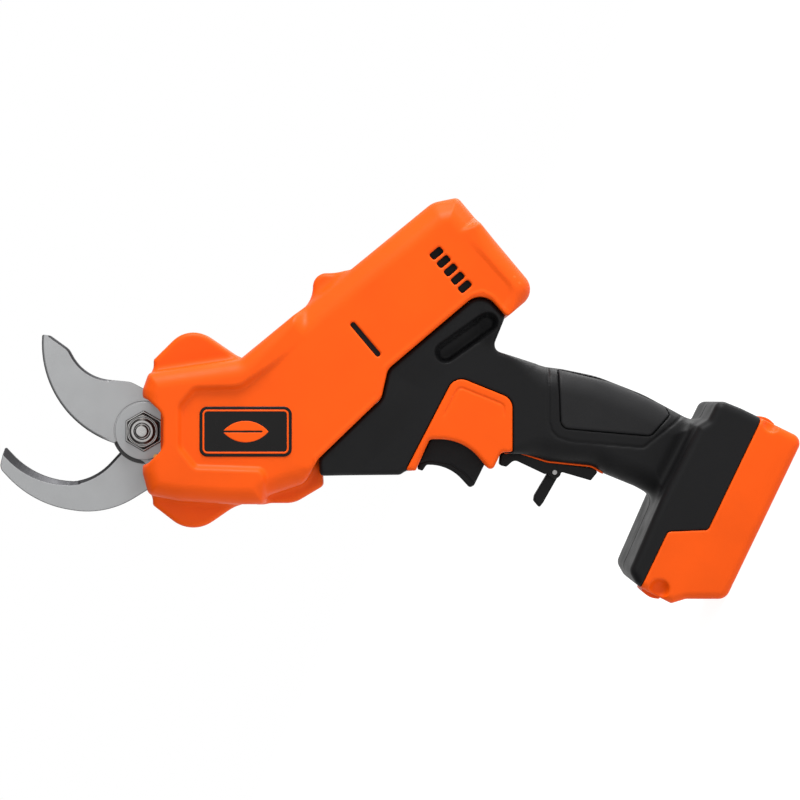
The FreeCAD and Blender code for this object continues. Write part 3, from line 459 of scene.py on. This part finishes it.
# Foot and battery pack share one outer shape and part along a stepped line
STAND = [(-43.8, 0.0, 6), (-52.4, 18.0, 3), (-57.6, 23.6, 1.2), (-57.2, 40.6, 1), (-56.2, 43.8, 2.5),
         (-52.2, 49.6, 5), (-14.0, 51.0, 1), (28.0, 50.0, 1), (33.0, 46.8, 3), (44.4, 46.8, 4.5),
         (45.2, 34.0, 8), (45.0, 0.0, 5)]
FOOT_CUT = [(300.0, 23.5), (-16.4, 23.5, 2), (-25.8, 41.1, 2), (-300.0, 41.1), (-300.0, 400.0),
            (300.0, 400.0)]
PACK_CUT = [(60.0, 23.3), (-16.6, 23.3, 2), (-26.0, 40.9, 2), (-70.0, 40.9), (-70.0, -20.0), (60.0, -20.0)]
CAPSULE = [head(154.0, 40.0), head(175.0, 54.8)]
TRIGGER_MOUTH = [head(136.0, -24.0), head(178.4, -24.0), head(178.4, -9.5), head(171.5, 0.5),
                 head(145.7, 0.5)]
TRIGGER_PANEL = [head(133.8, -19.9, 0.8), head(138.9, -19.9, 0.8), head(146.0, -4.0, 2.2),
                 head(163.2, -4.0, 26), head(177.2, -21.1, 2.4), head(182.0, -10.8, 2.5),
                 head(187.8, -10.2, 0.8), head(187.8, 16.4, 7), head(158.7, 28.2, 7)]
GRIP_PAD = [head(211.2, 31.4, 1), head(212.4, 1.8, 4), head(257.5, -2.2, 3), head(267.4, 8.2, 0.8),
            head(265.6, 12.8, 0.8), head(240.0, 24.6, 8)]
GRIP_GROOVE = [head(206.0, 33.0), head(206.2, 4.6), head(207.4, 0.2), head(210.6, -3.0), head(217.4, -5.1),
               head(254.0, -8.2), head(274.0, 7.5)]
BADGE = [head(30.2, -12.6, 4), head(76.6, -12.6, 4), head(76.6, 12.6, 4), head(30.2, 12.6, 4)]
WINDOW = [head(96.0, -3.0), head(112.0, 12.0), head(118.0, 6.0), head(102.0, -9.0)]

# Housing screws: (point, half width of the moulding there)
HOUSING_SCREWS = [(head(26.5, 42.5), 6.0), (head(25.5, -42.0), 6.0), (head(95.0, 73.5), 9.0),
                  (tube(190.5, -66.0), 21.0), (head(79.0, -22.5), 17.0)]
HANDLE_SCREWS = [(head(112.0, -12.0), 21.4), (head(196.0, 3.0), 15.6), (head(238.0, -13.0), 15.6),
                 (row(37.6, 40.6), 36.0), (row(-45.0, 45.5), 36.0)]
BOSS_R, SCREW_HEAD_R, SCREW_SHANK_R = 4.0, 3.25, 1.75
BOSS_DEPTH, SCREW_SEAT, SCREW_DEPTH = 6.0, 2.9, 9.0     # how far each goes in from the moulding's side


def screw_seats(grid, field, screws):
    """Counterbores on the far half, each with a boss that carries the screw's head."""
    for point, half in screws:
        boss = np.maximum(lift(disc(grid, point, BOSS_R)),
                          np.maximum(half - BOSS_DEPTH - grid.off, grid.off - half - 0.2))
        field = join(field, boss, 0.8)
        sink = np.maximum(lift(disc(grid, point, SCREW_HEAD_R)), half - SCREW_SEAT - grid.off)
        shank = np.maximum(lift(disc(grid, point, SCREW_SHANK_R)), half - SCREW_DEPTH - grid.off)
        field = carve(field, np.minimum(sink, shank), 0.5)
    return field


def both_sides(name, grid, field, slot, nodes=None):
    """The same small piece of the housing on the near side and, mirrored, on the far side."""
    for suffix, far in (("_left", False), ("_right", True)):
        stands_for = [nodes + suffix] if nodes else ()
        piece(name + suffix, grid, field, "housing", slot, stands_for, far=far)


def both_halves(name, grid, near, far, slot, nodes):
    """Two mouldings that meet at the middle plane. The grid covers the near, -Y, side."""
    seam = SEAM + grid.y
    piece(name + "_left", grid, overlap(near, seam, 0.5), "housing", slot, [nodes + "_left"])
    piece(name + "_right", grid, overlap(far, seam, 0.5), "housing", slot, [nodes + "_right"], far=True)


# Housing

COLLAR_RISE, REAR_LOSS = 3.0, 2.2              # collar above the name panel, and what it loses at the rear
LIP, LIP_IN, LIP_WIDTH = 0.45, 1.6, 0.8        # raised line beside the border: height, distance, width
BORDER_EDGE, SIDE_EDGE, TOP_LOSS = 0.8, 8.7, 5.0    # edge radius at the border, what the other sides add,
                                                    # and how much less of that the tube's top has
TOP_CHAMFER, DIAGONAL = 9.0, 0.7071            # chamfer along the tube's top, scaled back to a distance
FAR_OUT = 60.0                                 # moves the chamfer clear of everything but the tube's top
CUT_IN = 12.0                                  # vents and slot are cut from outside to this half width
VENT_COUNT, VENT_PITCH, VENT_HALF, FIRST_VENT = 5, 5.5, 1.95, -27.9
VENT_ENDS = (168.4, 175.4)
EAR_HALF, TUBE_EAR_HALF, EAR_EDGE = 6.6, 9.6, 2.6
SHADE_SHEET = 1.2                                   # thickness of a dark sheet that paints the shade behind a vent


def tube_panel(a_low, a_high, w_first, w_last):
    """Rounded rectangle along the motor tube."""
    return [tube(a_low, w_first, 1), tube(a_high, w_first, 1), tube(a_high, w_last, 1),
            tube(a_low, w_last, 1)]


def housing_skin(grid):
    """Outer skin of the orange housing: collar round a lower name panel, screw ears, notch for the nut."""
    border = line_distance(grid, BORDER)
    panel = distance(grid, NAME_PANEL)
    c, s = math.cos(TUBE_ANGLE), math.sin(TUBE_ANGLE)
    top = ramp(grid.x, 50, 85) * ramp(grid.z * c - grid.x * s, -46, -26)
    rise = COLLAR_RISE - REAR_LOSS * ramp(grid.x, 62, 95)
    lip = LIP * np.exp(-((border - LIP_IN) / LIP_WIDTH) ** 2)
    half = HOUSING_HALF + rise * ramp(panel, -1.8, 1.8) * (1 - top) + lip
    edge = BORDER_EDGE + (SIDE_EDGE - TOP_LOSS * top) * ramp(border, 2, 15)
    flat = distance(grid, BODY)
    skin = plate(grid, flat, half, edge)
    slope = (lift(flat + TOP_CHAMFER * top + FAR_OUT * (top - 1) - half) + grid.off) * DIAGONAL
    skin = overlap(skin, slope, 3.0)
    ears = ((TOP_EAR, EAR_HALF, 4), (LOW_EAR, EAR_HALF, 4), (TUBE_EAR, TUBE_EAR_HALF, 6),
            (FLANGE, EAR_HALF, 3))
    for ear, ear_half, blend in ears:
        skin = join(skin, plate(grid, distance(grid, ear), ear_half, EAR_EDGE), blend)
    notch = np.maximum(lift(distance(grid, NOTCH)), MOUTH_HALF - grid.off)
    return carve(skin, notch, 1.8)


def build_housing():
    grid = Grid((-1.5, 206.0), (-29.0, 1.5), (-52.0, 124.0), BIG_STEP)
    shell = hollow(housing_skin(grid))
    shell = carve(shell, np.maximum(lift(distance(grid, MOUTH)), grid.off - MOUTH_HALF))
    shell = carve(shell, np.maximum(lift(distance(grid, WINDOW)), grid.off - WINDOW_HALF))
    deep = CUT_IN - grid.off
    for i in range(VENT_COUNT):
        middle = FIRST_VENT - VENT_PITCH * i
        vent = tube_panel(*VENT_ENDS, middle - VENT_HALF, middle + VENT_HALF)
        shell = carve(shell, np.maximum(lift(distance(grid, vent)), deep), 0.4)
    slot = tube_panel(115.3, 118.0, -27.0, -48.8)
    shell = carve(shell, np.maximum(lift(distance(grid, slot)), deep), 0.5)
    both_halves("housing_shell", grid, shell, screw_seats(grid, shell, HOUSING_SCREWS), "orange_housing",
                "body_shell")


def build_shade_sheets():
    """Dark sheets behind the vents and the slot, which paint the shade inside them."""
    step = FINE_STEP * 2
    shade_sheets = (("vent_shade_sheet", tube_panel(165.0, 178.0, -56.0, -22.0), -20.6,
                Grid((138, 178), (-22, -18), (54, 104), step)),
               ("slot_shade_sheet", tube_panel(113.0, 120.3, -51.0, -25.0), -22.4,
                Grid((100, 128), (-24, -20), (28, 62), step)))
    for name, outline, low, grid in shade_sheets:
        both_sides(name, grid, slab(grid, distance(grid, outline), low, low + SHADE_SHEET), "black_housing")


# Handle

HOLLOW_DEPTH = 7.0                   # capsule-shaped hollow in the saddle
BODY_GAP = 0.15                      # gap between handle and housing
PANEL_POCKET, PAD_POCKET = 1.7, 1.3  # pockets that the trigger panels and grip pads lie in
POCKET_GAP = 0.3
GROOVE_HALF = 0.5                    # half width, and depth, of the groove beside the grip pad
SADDLE_EDGE, GRIP_EDGE = 2.6, 10.0   # edge radius of the saddle, and what the grip adds to it
FOOT_EDGE = 4.5
TRIGGER_MOUTH_HALF, BAY_HALF = 8.0, 21.5


def handle_skin(grid):
    """Outer skin of saddle, grip and battery foot."""
    gap = distance(grid, BODY)
    side = join(distance(grid, SADDLE), distance(grid, HANDLE), 1.5)
    half = GRIP_HALF + (SADDLE_HALF - GRIP_HALF) * (1 - ramp(gap, 4, 20))
    half -= HOLLOW_DEPTH * (1 - ramp(line_distance(grid, CAPSULE), 2.6, 6.0))
    edge = SADDLE_EDGE + GRIP_EDGE * ramp(grid.x, 184, 206)
    skin = plate(grid, side, half, edge)
    foot = plate(grid, distance(grid, [row(*corner) for corner in STAND]), FOOT_HALF, FOOT_EDGE)
    cut = lift(distance(grid, [row(*corner) for corner in FOOT_CUT]))
    return overlap(join(skin, foot, 6), cut, 0.5)


def build_handle():
    grid = Grid((88.0, 315.0), (-39.0, 1.5), (-84.0, 70.0), BIG_STEP)
    skin = handle_skin(grid)
    shell = hollow(skin)
    mouth = np.maximum(lift(distance(grid, TRIGGER_MOUTH)), grid.off - TRIGGER_MOUTH_HALF)
    shell = carve(shell, mouth, 0.8)
    shell = carve(shell, np.maximum(lift(distance(grid, WINDOW)), grid.off - WINDOW_HALF))
    bay = [row(-60.0, 20.0), row(41.0, 20.0), row(41.0, 35.5), row(-60.0, 35.5)]
    shell = carve(shell, np.maximum(lift(distance(grid, bay)), grid.off - BAY_HALF), 0.6)
    shell = np.maximum(shell, -lift(distance(grid, BODY) - BODY_GAP))
    for outline, depth in ((TRIGGER_PANEL, PANEL_POCKET), (GRIP_PAD, PAD_POCKET)):
        pocket = np.maximum(lift(distance(grid, outline) - POCKET_GAP), -(skin + depth))
        shell = carve(shell, np.maximum(pocket, 8.5 - grid.off), 0.5)
    groove = np.maximum(lift(line_distance(grid, GRIP_GROOVE) - GROOVE_HALF), -(skin + GROOVE_HALF))
    shell = carve(shell, np.maximum(groove, 6.0 - grid.off), 0.6)
    both_halves("handle_moulding", grid, shell, screw_seats(grid, shell, HANDLE_SCREWS), "black_housing",
                "handle_shell")


def build_inlays():
    """Trigger panels and grip pads, which follow the handle's surface."""
    inlays = (("trigger_panel", TRIGGER_PANEL, PANEL_POCKET - 0.1, "orange_housing",
               Grid((132, 193), (-25, -6), (-25, 31), MID_STEP)),
              ("grip_pad", GRIP_PAD, PAD_POCKET - 0.1, "rubber_grip",
               Grid((208, 273), (-21, -6), (-6, 35), MID_STEP)))
    for name, outline, depth, slot, grid in inlays:
        skin = handle_skin(grid)
        flat = distance(grid, outline)
        top = skin - PLATE_PROUD
        if name == "trigger_panel":
            band = np.exp(-((flat + 4.4) / 0.55) ** 2) * ramp(grid.z, 6, 11)
            top = top + lift(0.55 * band)
        field = overlap(lift(flat), top, 1.1)
        field = np.maximum(field, np.maximum(-(skin + depth), 9.0 - grid.off))
        both_sides(name + "_cover", grid, field, slot, name)


def build_front_strip():
    """Strip between the grip's front and the lever bracket."""
    middle, reach = 209.2, 25.2
    proud, sunk = 0.75, 0.2
    grid = Grid((184, 237), (-8.4, 8.4), (-25, -8), FINE_STEP)
    flat = distance(grid, HANDLE)
    flat = np.maximum(np.maximum(flat - proud, -flat - sunk), np.abs(grid.x - middle) - reach)
    piece("front_strip", grid, plate(grid, flat, 7.6, 0.2), "housing", "orange_housing")


def build_name_plates():
    """Dark plates, each with a frame line and a leaf."""
    proud, emblem_proud, sunk = 0.5, 0.75, 0.9
    leaf_r, leaf_shift, leaf_x = 15.0, 9.6, 53.4
    grid = Grid((28.7, 78.1), (-26.5, -23.2), (-14, 14), FINE_STEP)
    flat = distance(grid, BADGE)
    plate_field = slab(grid, flat, -HOUSING_HALF - proud, -HOUSING_HALF + sunk, 0.3)
    leaf = np.maximum(disc(grid, (leaf_x, leaf_shift), leaf_r), disc(grid, (leaf_x, -leaf_shift), leaf_r))
    vein = line_distance(grid, [(leaf_x - 15.0, 0.0), (leaf_x + 8.0, 0.0)]) - 0.45
    frame_line = np.abs(flat + 2.0) - 0.5
    emblem = np.minimum(np.maximum(leaf, -vein), frame_line)
    emblem = slab(grid, emblem, -HOUSING_HALF - emblem_proud, -HOUSING_HALF, 0.12)
    for suffix, far in (("_left", False), ("_right", True)):
        piece("name_plate" + suffix, grid, plate_field, "housing", "badge", ["badge" + suffix], far=far)
        piece("leaf_emblem" + suffix, grid, emblem, "housing", "orange_housing", far=far)


# Blades and pivot hardware

BOLT_R, BOLT_HOLE_R = 4.0, 4.05
BLADE_HUB_R, BUSHING_R = 15.0, 6.0
TAIL_LENGTH, TAIL_TURN, TAIL_HALF, TAIL_PIN_R = 22.0, math.radians(-110.0), 5.0, 2.5
EDGE_CENTRE, EDGE_R = (1.2, 44.7), 53.5                # arc of the moving blade's cutting edge
EDGE_BEVEL, EDGE_DEPTH = 1.2, 0.5
BACK_CHAMFER, HUB_GROOVE = 1.1, 0.28
PLATE_FLATS, NUT_FLATS, BOLT_FLATS = 18.3, 15.6, 13.0
PLATE_FRONT, NUT_FRONT, BOLT_BACK = -5.65, -10.8, 9.6  # y of the outer faces
CONE = 0.7                                             # scales a 45 degree cone back to a distance


def build_moving_blade():
    near, far = -3.75, -0.45
    cutting = [head(-15.2, -6.25, 0.6), head(-54.6, 7.3, EDGE_R)]
    back = [head(-52.1, 49.4, 0.8), head(-48.0, 48.9, 3), head(-38.4, 42.0, 8), head(-30.6, 27.5, 24),
            head(-7.0, 25.2, 9), head(2.0, 20.5, 5), head(10.0, 11.0, 5)]
    grid = Grid((-54.5, 27.0), (-4.8, 0.4), (-26.0, 51.0), FINE_STEP)
    flat = distance(grid, cutting + back)
    turn = TAIL_TURN + TUBE_ANGLE
    tail = (TAIL_LENGTH * math.cos(turn), TAIL_LENGTH * math.sin(turn))
    hub = disc(grid, (0, 0), BLADE_HUB_R)
    arm = line_distance(grid, [(0, 0), tail]) - TAIL_HALF
    outline = join(np.minimum(flat, hub), arm, 3.0)
    outline = np.maximum(outline, -disc(grid, (0, 0), BUSHING_R))
    outline = np.maximum(outline, -disc(grid, tail, TAIL_PIN_R))
    rim = rounded(cutting + back)
    edge_line = [point for point in rim if abs(math.dist(point, EDGE_CENTRE) - EDGE_R) < 0.1]
    back_line = [point for point in rim if -48 < point[0] < -12 and point[1] > 24.5]
    ground = 1 - np.clip(line_distance(grid, edge_line) / EDGE_BEVEL, 0, 1)
    chamfer = np.clip(BACK_CHAMFER - line_distance(grid, back_line), 0, BACK_CHAMFER) * ramp(-grid.x, 12, 24)
    face = near + EDGE_DEPTH * ground * ramp(hub, 2, 8) + 0.9 * chamfer * ramp(hub, 0, 3)
    face += HUB_GROOVE * np.exp(-(hub / 0.26) ** 2)
    field = np.maximum(overlap(lift(outline), lift(face) - grid.y, 0.2), grid.y - far)
    piece("cutting_blade", grid, field, "blade", "blade_steel", ["moving_blade"])


def build_hook_blade():
    near, far = 0.3, 4.3
    concave = [head(-71.9, -7.9, 0.7), head(-54.5, -26.7, 43.6), head(-26.2, -25.4, 30),
               head(-12.0, -10.0, 4)]
    rest = [head(-10.0, 9.0, 8), head(0.0, 13.5, 5), tube(10.0, -8.0, 3), tube(46.0, -8.0, 4),
            tube(46.0, -25.0, 4), tube(0.0, -25.0, 4), head(4.0, -28.6, 3), head(-20.0, -43.4, 45),
            head(-57.2, -37.5, 55), head(-74.6, -19.0, 5)]
    grid = Grid((-76.5, 54.0), (-0.6, 5.2), (-46.0, 27.0), FINE_STEP)
    outline = distance(grid, concave + rest)
    outline = np.maximum(outline, -disc(grid, (0, 0), BOLT_HOLE_R))
    for a in (33.0, 42.0):
        outline = np.maximum(outline, -disc(grid, tube(a, -16.5), 2.1))
    hook = rounded(concave + rest[:1])[1:-1]
    away = line_distance(grid, hook)
    width = 1.5 + 2.2 * ramp(-grid.x, 20, 72)
    bevel = np.clip(width - away, 0, None) * (1 - ramp(np.hypot(grid.x, grid.z), 17, 15))
    face = near + 0.75 * bevel
    field = np.maximum(overlap(lift(outline), lift(face) - grid.y, 0.25), grid.y - far)
    piece("hook_blade", grid, field, "housing", "blade_steel", ["counter_blade"])


def build_pivot():
    """Hexagonal lock plate, flange nut with its collar, and the bolt."""
    grid = Grid((-12, 12), (-7, -3), (-12, 12), FINE_STEP)
    plate_flat = hexagon(grid, PLATE_FLATS)
    field = slab(grid, plate_flat, PLATE_FRONT, -3.85, 0.45)
    inner_line = np.maximum(lift(np.abs(plate_flat + 1.5) - 0.3), grid.y + 5.3)
    field = carve(field, inner_line, 0.2)
    field = np.maximum(field, -lift(disc(grid, (0, 0), BOLT_HOLE_R)))
    piece("hex_plate", grid, field, "housing", "hardware_steel", ["lock_plate"])

    grid = Grid((-11, 11), (-13.5, -4.5), (-11, 11), FINE_STEP)
    radius = lift(np.hypot(grid.x, grid.z))
    body = slab(grid, hexagon(grid, NUT_FLATS), NUT_FRONT, PLATE_FRONT, 0.15)
    cone = (radius - 7.9 - (grid.y - NUT_FRONT)) * CONE
    body = overlap(body, cone, 0.3)
    collar = slab(grid, disc(grid, (0, 0), 5.9), -12.3, -10.0, 0.6)
    lip = np.abs(radius - 6.9) - 0.28
    body = carve(body, np.maximum(lip, grid.y + 10.45), 0.3)
    field = np.maximum(join(body, collar, 0.4), BOLT_HOLE_R - radius)
    piece("locking_nut", grid, field, "housing", "hardware_steel", ["pivot_nut"])

    grid = Grid((-8.5, 8.5), (-16.6, 10.6), (-8.5, 8.5), FINE_STEP)
    radius = lift(np.hypot(grid.x, grid.z))
    shank = np.maximum(radius - BOLT_R, np.abs(grid.y + 4.05) - 8.35)
    thread_r, thread_depth, thread_pitch = 3.3, 0.16, 1.0
    thread = thread_r + thread_depth * np.cos(2 * math.pi * grid.y / thread_pitch)
    end = overlap(radius - thread, -15.6 - grid.y, 0.9)
    end = np.maximum(end, grid.y + 12.0)
    bolt_head = slab(grid, hexagon(grid, BOLT_FLATS), 4.3, BOLT_BACK, 0.2)
    bolt_head = overlap(bolt_head, (radius - 6.6 + (grid.y - BOLT_BACK)) * CONE, 0.3)
    field = np.minimum(np.minimum(shank, end), bolt_head)
    piece("hex_bolt", grid, field, "housing", "hardware_steel", ["pivot_bolt"])


# Trigger and lock lever

TRIGGER_HALF = 7.4
BRACKET_HALF, LEVER_HALF, LEVER_ROOM = 7.5, 3.6, 4.0
KNUCKLE_R, KNUCKLE_ROOM_R, LEVER_PIN_R = 3.2, 5.2, 1.25
LEVER_PIVOT = head(209.8, -21.0)


def build_trigger():
    trigger = [head(146.2, -4.0, 1), head(140.4, -15.0, 3), head(139.6, -19.6, 0.8), head(142.5, -20.5, 0.8),
               head(144.6, -17.4, 1), head(155.6, -17.4, 22), head(166.4, -29.2, 1.8),
               head(168.9, -27.8, 1.4), head(174.6, -16.4, 1), head(171.6, -9.4, 3), head(164.4, 0.2, 1),
               head(149.0, 0.2, 1)]
    grid = Grid((138.5, 175.5), (-8.6, 8.6), (-30.5, 4.0), FINE_STEP)
    flat = distance(grid, trigger)
    finger = [head(140.0, -21.0), head(146.0, -19.2), head(155.0, -20.6), head(161.0, -24.6),
              head(166.6, -31.0)]
    scoop = 1 - ramp(line_distance(grid, finger), 2.4, 6.5)
    field = plate(grid, flat, TRIGGER_HALF, 1.3)
    hollow_face = lift(flat) + 1.1 * (1 - ramp(grid.off, 3.0, 6.2)) * lift(scoop)
    field = overlap(field, hollow_face, 0.8)
    rim = lift(np.abs(line_distance(grid, finger) - 4.2) - 0.35)
    field = carve(field, np.maximum(rim, TRIGGER_HALF - 0.35 - grid.off), 0.3)
    piece("trigger_button", grid, field, "trigger", "black_housing", ["trigger"])


def build_lever():
    """Bracket under the grip and the folding lever on its pin."""
    bar = [head(181.6, -17.4, 1.2), head(182.4, -11.3, 2), head(190.4, -10.6, 8), head(205.8, -15.7, 8),
           head(230.2, -18.9, 0.8), head(231.6, -21.0, 0.6), head(228.2, -25.2, 0.8),
           head(213.8, -21.0, 1.5), head(204.6, -21.9, 1), head(189.2, -14.6, 3), head(185.2, -18.2, 1)]
    grid = Grid((179.5, 236.0), (-8.6, 8.6), (-28.0, -9.0), FINE_STEP)
    field = plate(grid, distance(grid, bar), BRACKET_HALF, 0.6)
    knuckle = plate(grid, disc(grid, LEVER_PIVOT, KNUCKLE_R), BRACKET_HALF, 0.6)
    field = join(field, np.maximum(knuckle, LEVER_ROOM - grid.off), 0.6)
    swing = [head(204.0, -19.8), head(214.0, -18.8), head(218.6, -21.4), head(226.0, -24.4),
             head(228.0, -34.0), head(200.0, -34.0)]
    room = np.minimum(disc(grid, LEVER_PIVOT, KNUCKLE_ROOM_R), distance(grid, swing))
    field = carve(field, np.maximum(lift(room), grid.off - LEVER_ROOM), 0.4)
    field = np.maximum(field, -lift(disc(grid, LEVER_PIVOT, LEVER_PIN_R)))
    field = np.maximum(field, -lift(distance(grid, HANDLE) - 0.35))
    piece("lever_bracket", grid, field, "housing", "black_housing", ["lever_mount"])

    lever = [head(212.0, -23.2, 1), head(207.6, -18.8, 1), head(206.4, -21.6, 1), head(199.6, -33.0, 1.5),
             head(199.2, -35.6, 1), head(202.2, -39.2, 0.8), head(204.2, -36.6, 1), head(211.0, -24.6, 2)]
    grid = Grid((196.5, 215.0), (-4.6, 4.6), (-40.5, -16.5), FINE_STEP)
    flat = np.minimum(distance(grid, lever), disc(grid, LEVER_PIVOT, KNUCKLE_R))
    field = plate(grid, flat, LEVER_HALF, 0.8)
    for k in range(4):
        ridge = lift(disc(grid, head(198.8 + 1.0 * k, -33.4 - 1.6 * k), 0.35))
        field = carve(field, np.maximum(ridge, LEVER_HALF - 0.4 - grid.off), 0.3)
    field = np.maximum(field, -lift(disc(grid, LEVER_PIVOT, LEVER_PIN_R)))
    piece("folding_lever", grid, field, "lock_lever", "black_housing", ["lock_lever"])


# Battery pack, in the row frame

PACK_EDGE = 4.2
TOWER_HALF, TOWER_TOP, TOWER_WALL = 20.6, 34.6, 2.2    # raised part of the pack that carries the contacts
SCREW_POST = (-35.5, 31.5)                             # x and distance from the middle of the case screws
SCOOPS = ((-53.8, 32.4, 5.2), (45.0, 17.6, 4.8))       # x, z and radius of the hollows beside the buttons
LATCH_BAYS = (((-61.0, -49.2), (26.8, 37.2)), ((37.0, 49.5), (12.4, 22.8)))


def bar_box(grid, x_span, z_span, half):
    """Box from one side to the other, of a half width."""
    return np.maximum(lift(block(grid, x_span, z_span)), grid.off - half)


def build_pack():
    grid = Grid((-60.0, 49.0), (-39.0, 39.0), (-1.5, 42.5), BIG_STEP)
    skin = plate(grid, distance(grid, STAND), FOOT_HALF, PACK_EDGE)
    skin = overlap(skin, lift(distance(grid, PACK_CUT)), 0.5)
    for x, z, radius in SCOOPS:
        ball = np.sqrt(lift((grid.x - x) ** 2 + (grid.z - z) ** 2) + (grid.off - FOOT_HALF - 1.0) ** 2)
        skin = carve(skin, ball - radius, 0.8)
    tower = plate(grid, block(grid, (-16.0, 40.0), (20.0, TOWER_TOP)), TOWER_HALF, 0.8)
    field = np.minimum(skin, tower)
    inner = bar_box(grid, (-14.0, 38.0), (15.0, TOWER_TOP - 2.0), TOWER_HALF - TOWER_WALL)
    field = np.maximum(field, -np.minimum(skin + WALL, inner))
    for y in (6.0, 12.0):
        contact_slot = np.maximum(lift(block(grid, (4.0, 42.0), (26.4, 33.6))), np.abs(grid.off - y) - 1)
        field = np.maximum(field, -contact_slot)
    field = np.maximum(field, -bar_box(grid, (21.0, 42.0), (25.4, 40.0), 17.0))
    for x_span, z_span in LATCH_BAYS:
        field = carve(field, bar_box(grid, x_span, z_span, 13.2), 0.8)
    radius = np.sqrt(lift((grid.x - SCREW_POST[0]) ** 2) + (grid.off - SCREW_POST[1]) ** 2)
    post = np.maximum(radius - 3.8, lift(np.abs(grid.z - 9.7) - 9.3))
    field = np.minimum(field, np.maximum(post, skin))
    field = np.maximum(field, -np.maximum(radius - 1.9, lift(grid.z - 3.0)))
    field = np.maximum(field, -np.maximum(radius - 1.75, lift(grid.z - 18.2)))
    piece("battery_case", grid, field, "battery_pack", "orange_housing",
          ["battery_lower_case", "battery_upper_case"], in_row=True)


def build_latches():
    """Domed caps of the two latch buttons."""
    margin, crown, shoulder = 1, 0.3, 1.3
    buttons = (("front", "front_latch", (-60.1, -55.0), (27.0, 37.0), -1),
               ("rear", "rear_latch", (44.3, 47.9), (12.6, 22.6), 1))
    for name, body, x_span, z_span, way in buttons:
        grid = Grid((x_span[0] - margin, x_span[1] + margin), (-14, 14),
                    (z_span[0] - margin, z_span[1] + margin), FINE_STEP)
        root, face = x_span if way > 0 else x_span[::-1]
        middle = sum(z_span) / 2
        dome = [(root, z_span[0]), (face - shoulder * way, z_span[0], 1), (face + crown * way, middle, 9),
                (face - shoulder * way, z_span[1], 1), (root, z_span[1])]
        field = slab(grid, distance(grid, dome), -13.0, 13.0, 0.9)
        piece("latch_cap_" + name, grid, field, body, "orange_housing", ["latch_button_" + name],
              in_row=True)


build_housing()
build_shade_sheets()
build_handle()
build_inlays()
build_front_strip()
build_name_plates()
build_moving_blade()
build_hook_blade()
build_pivot()
build_trigger()
build_lever()
build_pack()
build_latches()

# Carried-over CAD nodes
slots = {part["node"]: part["material_slot"] for part in frame["record"]["subparts"]}
for name, node in frame["nodes"].items():
    if node.hide_render:
        continue
    node.data.materials.clear()
    node.data.materials.append(MATERIALS[slots[name]])

# Floor, world, lights
FLOOR_HALF = 10.0
floor_mesh = bpy.data.meshes.new("floor")
floor_corners = [(-FLOOR_HALF, -FLOOR_HALF, 0), (FLOOR_HALF, -FLOOR_HALF, 0), (FLOOR_HALF, FLOOR_HALF, 0),
                 (-FLOOR_HALF, FLOOR_HALF, 0)]
floor_mesh.from_pydata(floor_corners, [], [(0, 1, 2, 3)])
floor = bpy.data.objects.new("floor", floor_mesh)
bpy.context.scene.collection.objects.link(floor)
pale = bpy.data.materials.new("pale_floor")
pale.use_nodes = True
pale_shader = pale.node_tree.nodes["Principled BSDF"]
pale_shader.inputs["Base Color"].default_value = (0.22, 0.22, 0.22, 1)
pale_shader.inputs["Roughness"].default_value = 0.9
pale_shader.inputs["Specular IOR Level"].default_value = 0.0
pale_shader.inputs["Emission Color"].default_value = (1, 1, 1, 1)
pale_shader.inputs["Emission Strength"].default_value = 0.92
floor_mesh.materials.append(pale)

world = bpy.data.worlds.new("studio")
bpy.context.scene.world = world
world.use_nodes = True
sky_nodes, sky_links = world.node_tree.nodes, world.node_tree.links
background = sky_nodes["Background"]
towards = sky_nodes.new("ShaderNodeTexCoord").outputs["Generated"]
split = sky_nodes.new("ShaderNodeSeparateXYZ")
sky_links.new(towards, split.inputs["Vector"])

# Directions of the level tool as the camera sees it, and the point that it looks at
UP = Vector((math.sin(STAND_ANGLE), 0, math.cos(STAND_ANGLE)))
RIGHT = Vector((math.cos(STAND_ANGLE), 0, -math.sin(STAND_ANGLE)))
BACK = Vector((0, -1, 0))
CENTRE = Vector((-24.8, 0, 189.4)) * MM
CAMERA_DISTANCE = 1.2
lifted = sky_nodes.new("ShaderNodeVectorMath")
lifted.operation = "DOT_PRODUCT"
lifted.inputs[1].default_value = UP
sky_links.new(towards, lifted.inputs[0])
brighter = sky_nodes.new("ShaderNodeMath")
brighter.operation = "MAXIMUM"
from_above = spread(sky_nodes, sky_links, lifted.outputs["Value"], 0.18, 0.7, -0.6, 0.8)
from_behind = spread(sky_nodes, sky_links, split.outputs["Y"], 0, 1.0, 0.1, 0.6)
sky_links.new(from_above, brighter.inputs[0])
sky_links.new(from_behind, brighter.inputs[1])
sky_links.new(brighter.outputs["Value"], background.inputs["Strength"])
background.inputs["Color"].default_value = (1, 1, 1, 1)


def area_light(name, place, size, power):
    """Square light at an offset from the tool's middle, aimed at it."""
    lamp = bpy.data.lights.new(name, "AREA")
    lamp.size = size
    lamp.energy = power
    holder = bpy.data.objects.new(name, lamp)
    bpy.context.scene.collection.objects.link(holder)
    holder.location = CENTRE + place
    holder.rotation_euler = (-place).to_track_quat("-Z", "Y").to_euler()


area_light("key", UP * 1.2 + BACK * 0.45 - RIGHT * 0.1, 0.6, 22)
area_light("fill", BACK * 1.2 + UP * 0.2 - RIGHT * 0.5, 0.9, 3)
area_light("rim", UP * 0.8 - BACK * 0.5 + RIGHT * 0.3, 0.5, 5)

# Camera
camera = bpy.data.cameras.new("camera")
camera.lens = 105.3
camera.sensor_width = 36.0
camera.clip_end = 20.0
view = bpy.data.objects.new("camera", camera)
bpy.context.scene.collection.objects.link(view)
turned = Matrix((RIGHT, UP, BACK)).transposed().to_4x4()
turned.translation = CENTRE + BACK * CAMERA_DISTANCE
view.matrix_world = turned
bpy.context.scene.camera = view
bpy.context.scene.view_settings.view_transform = "Standard"
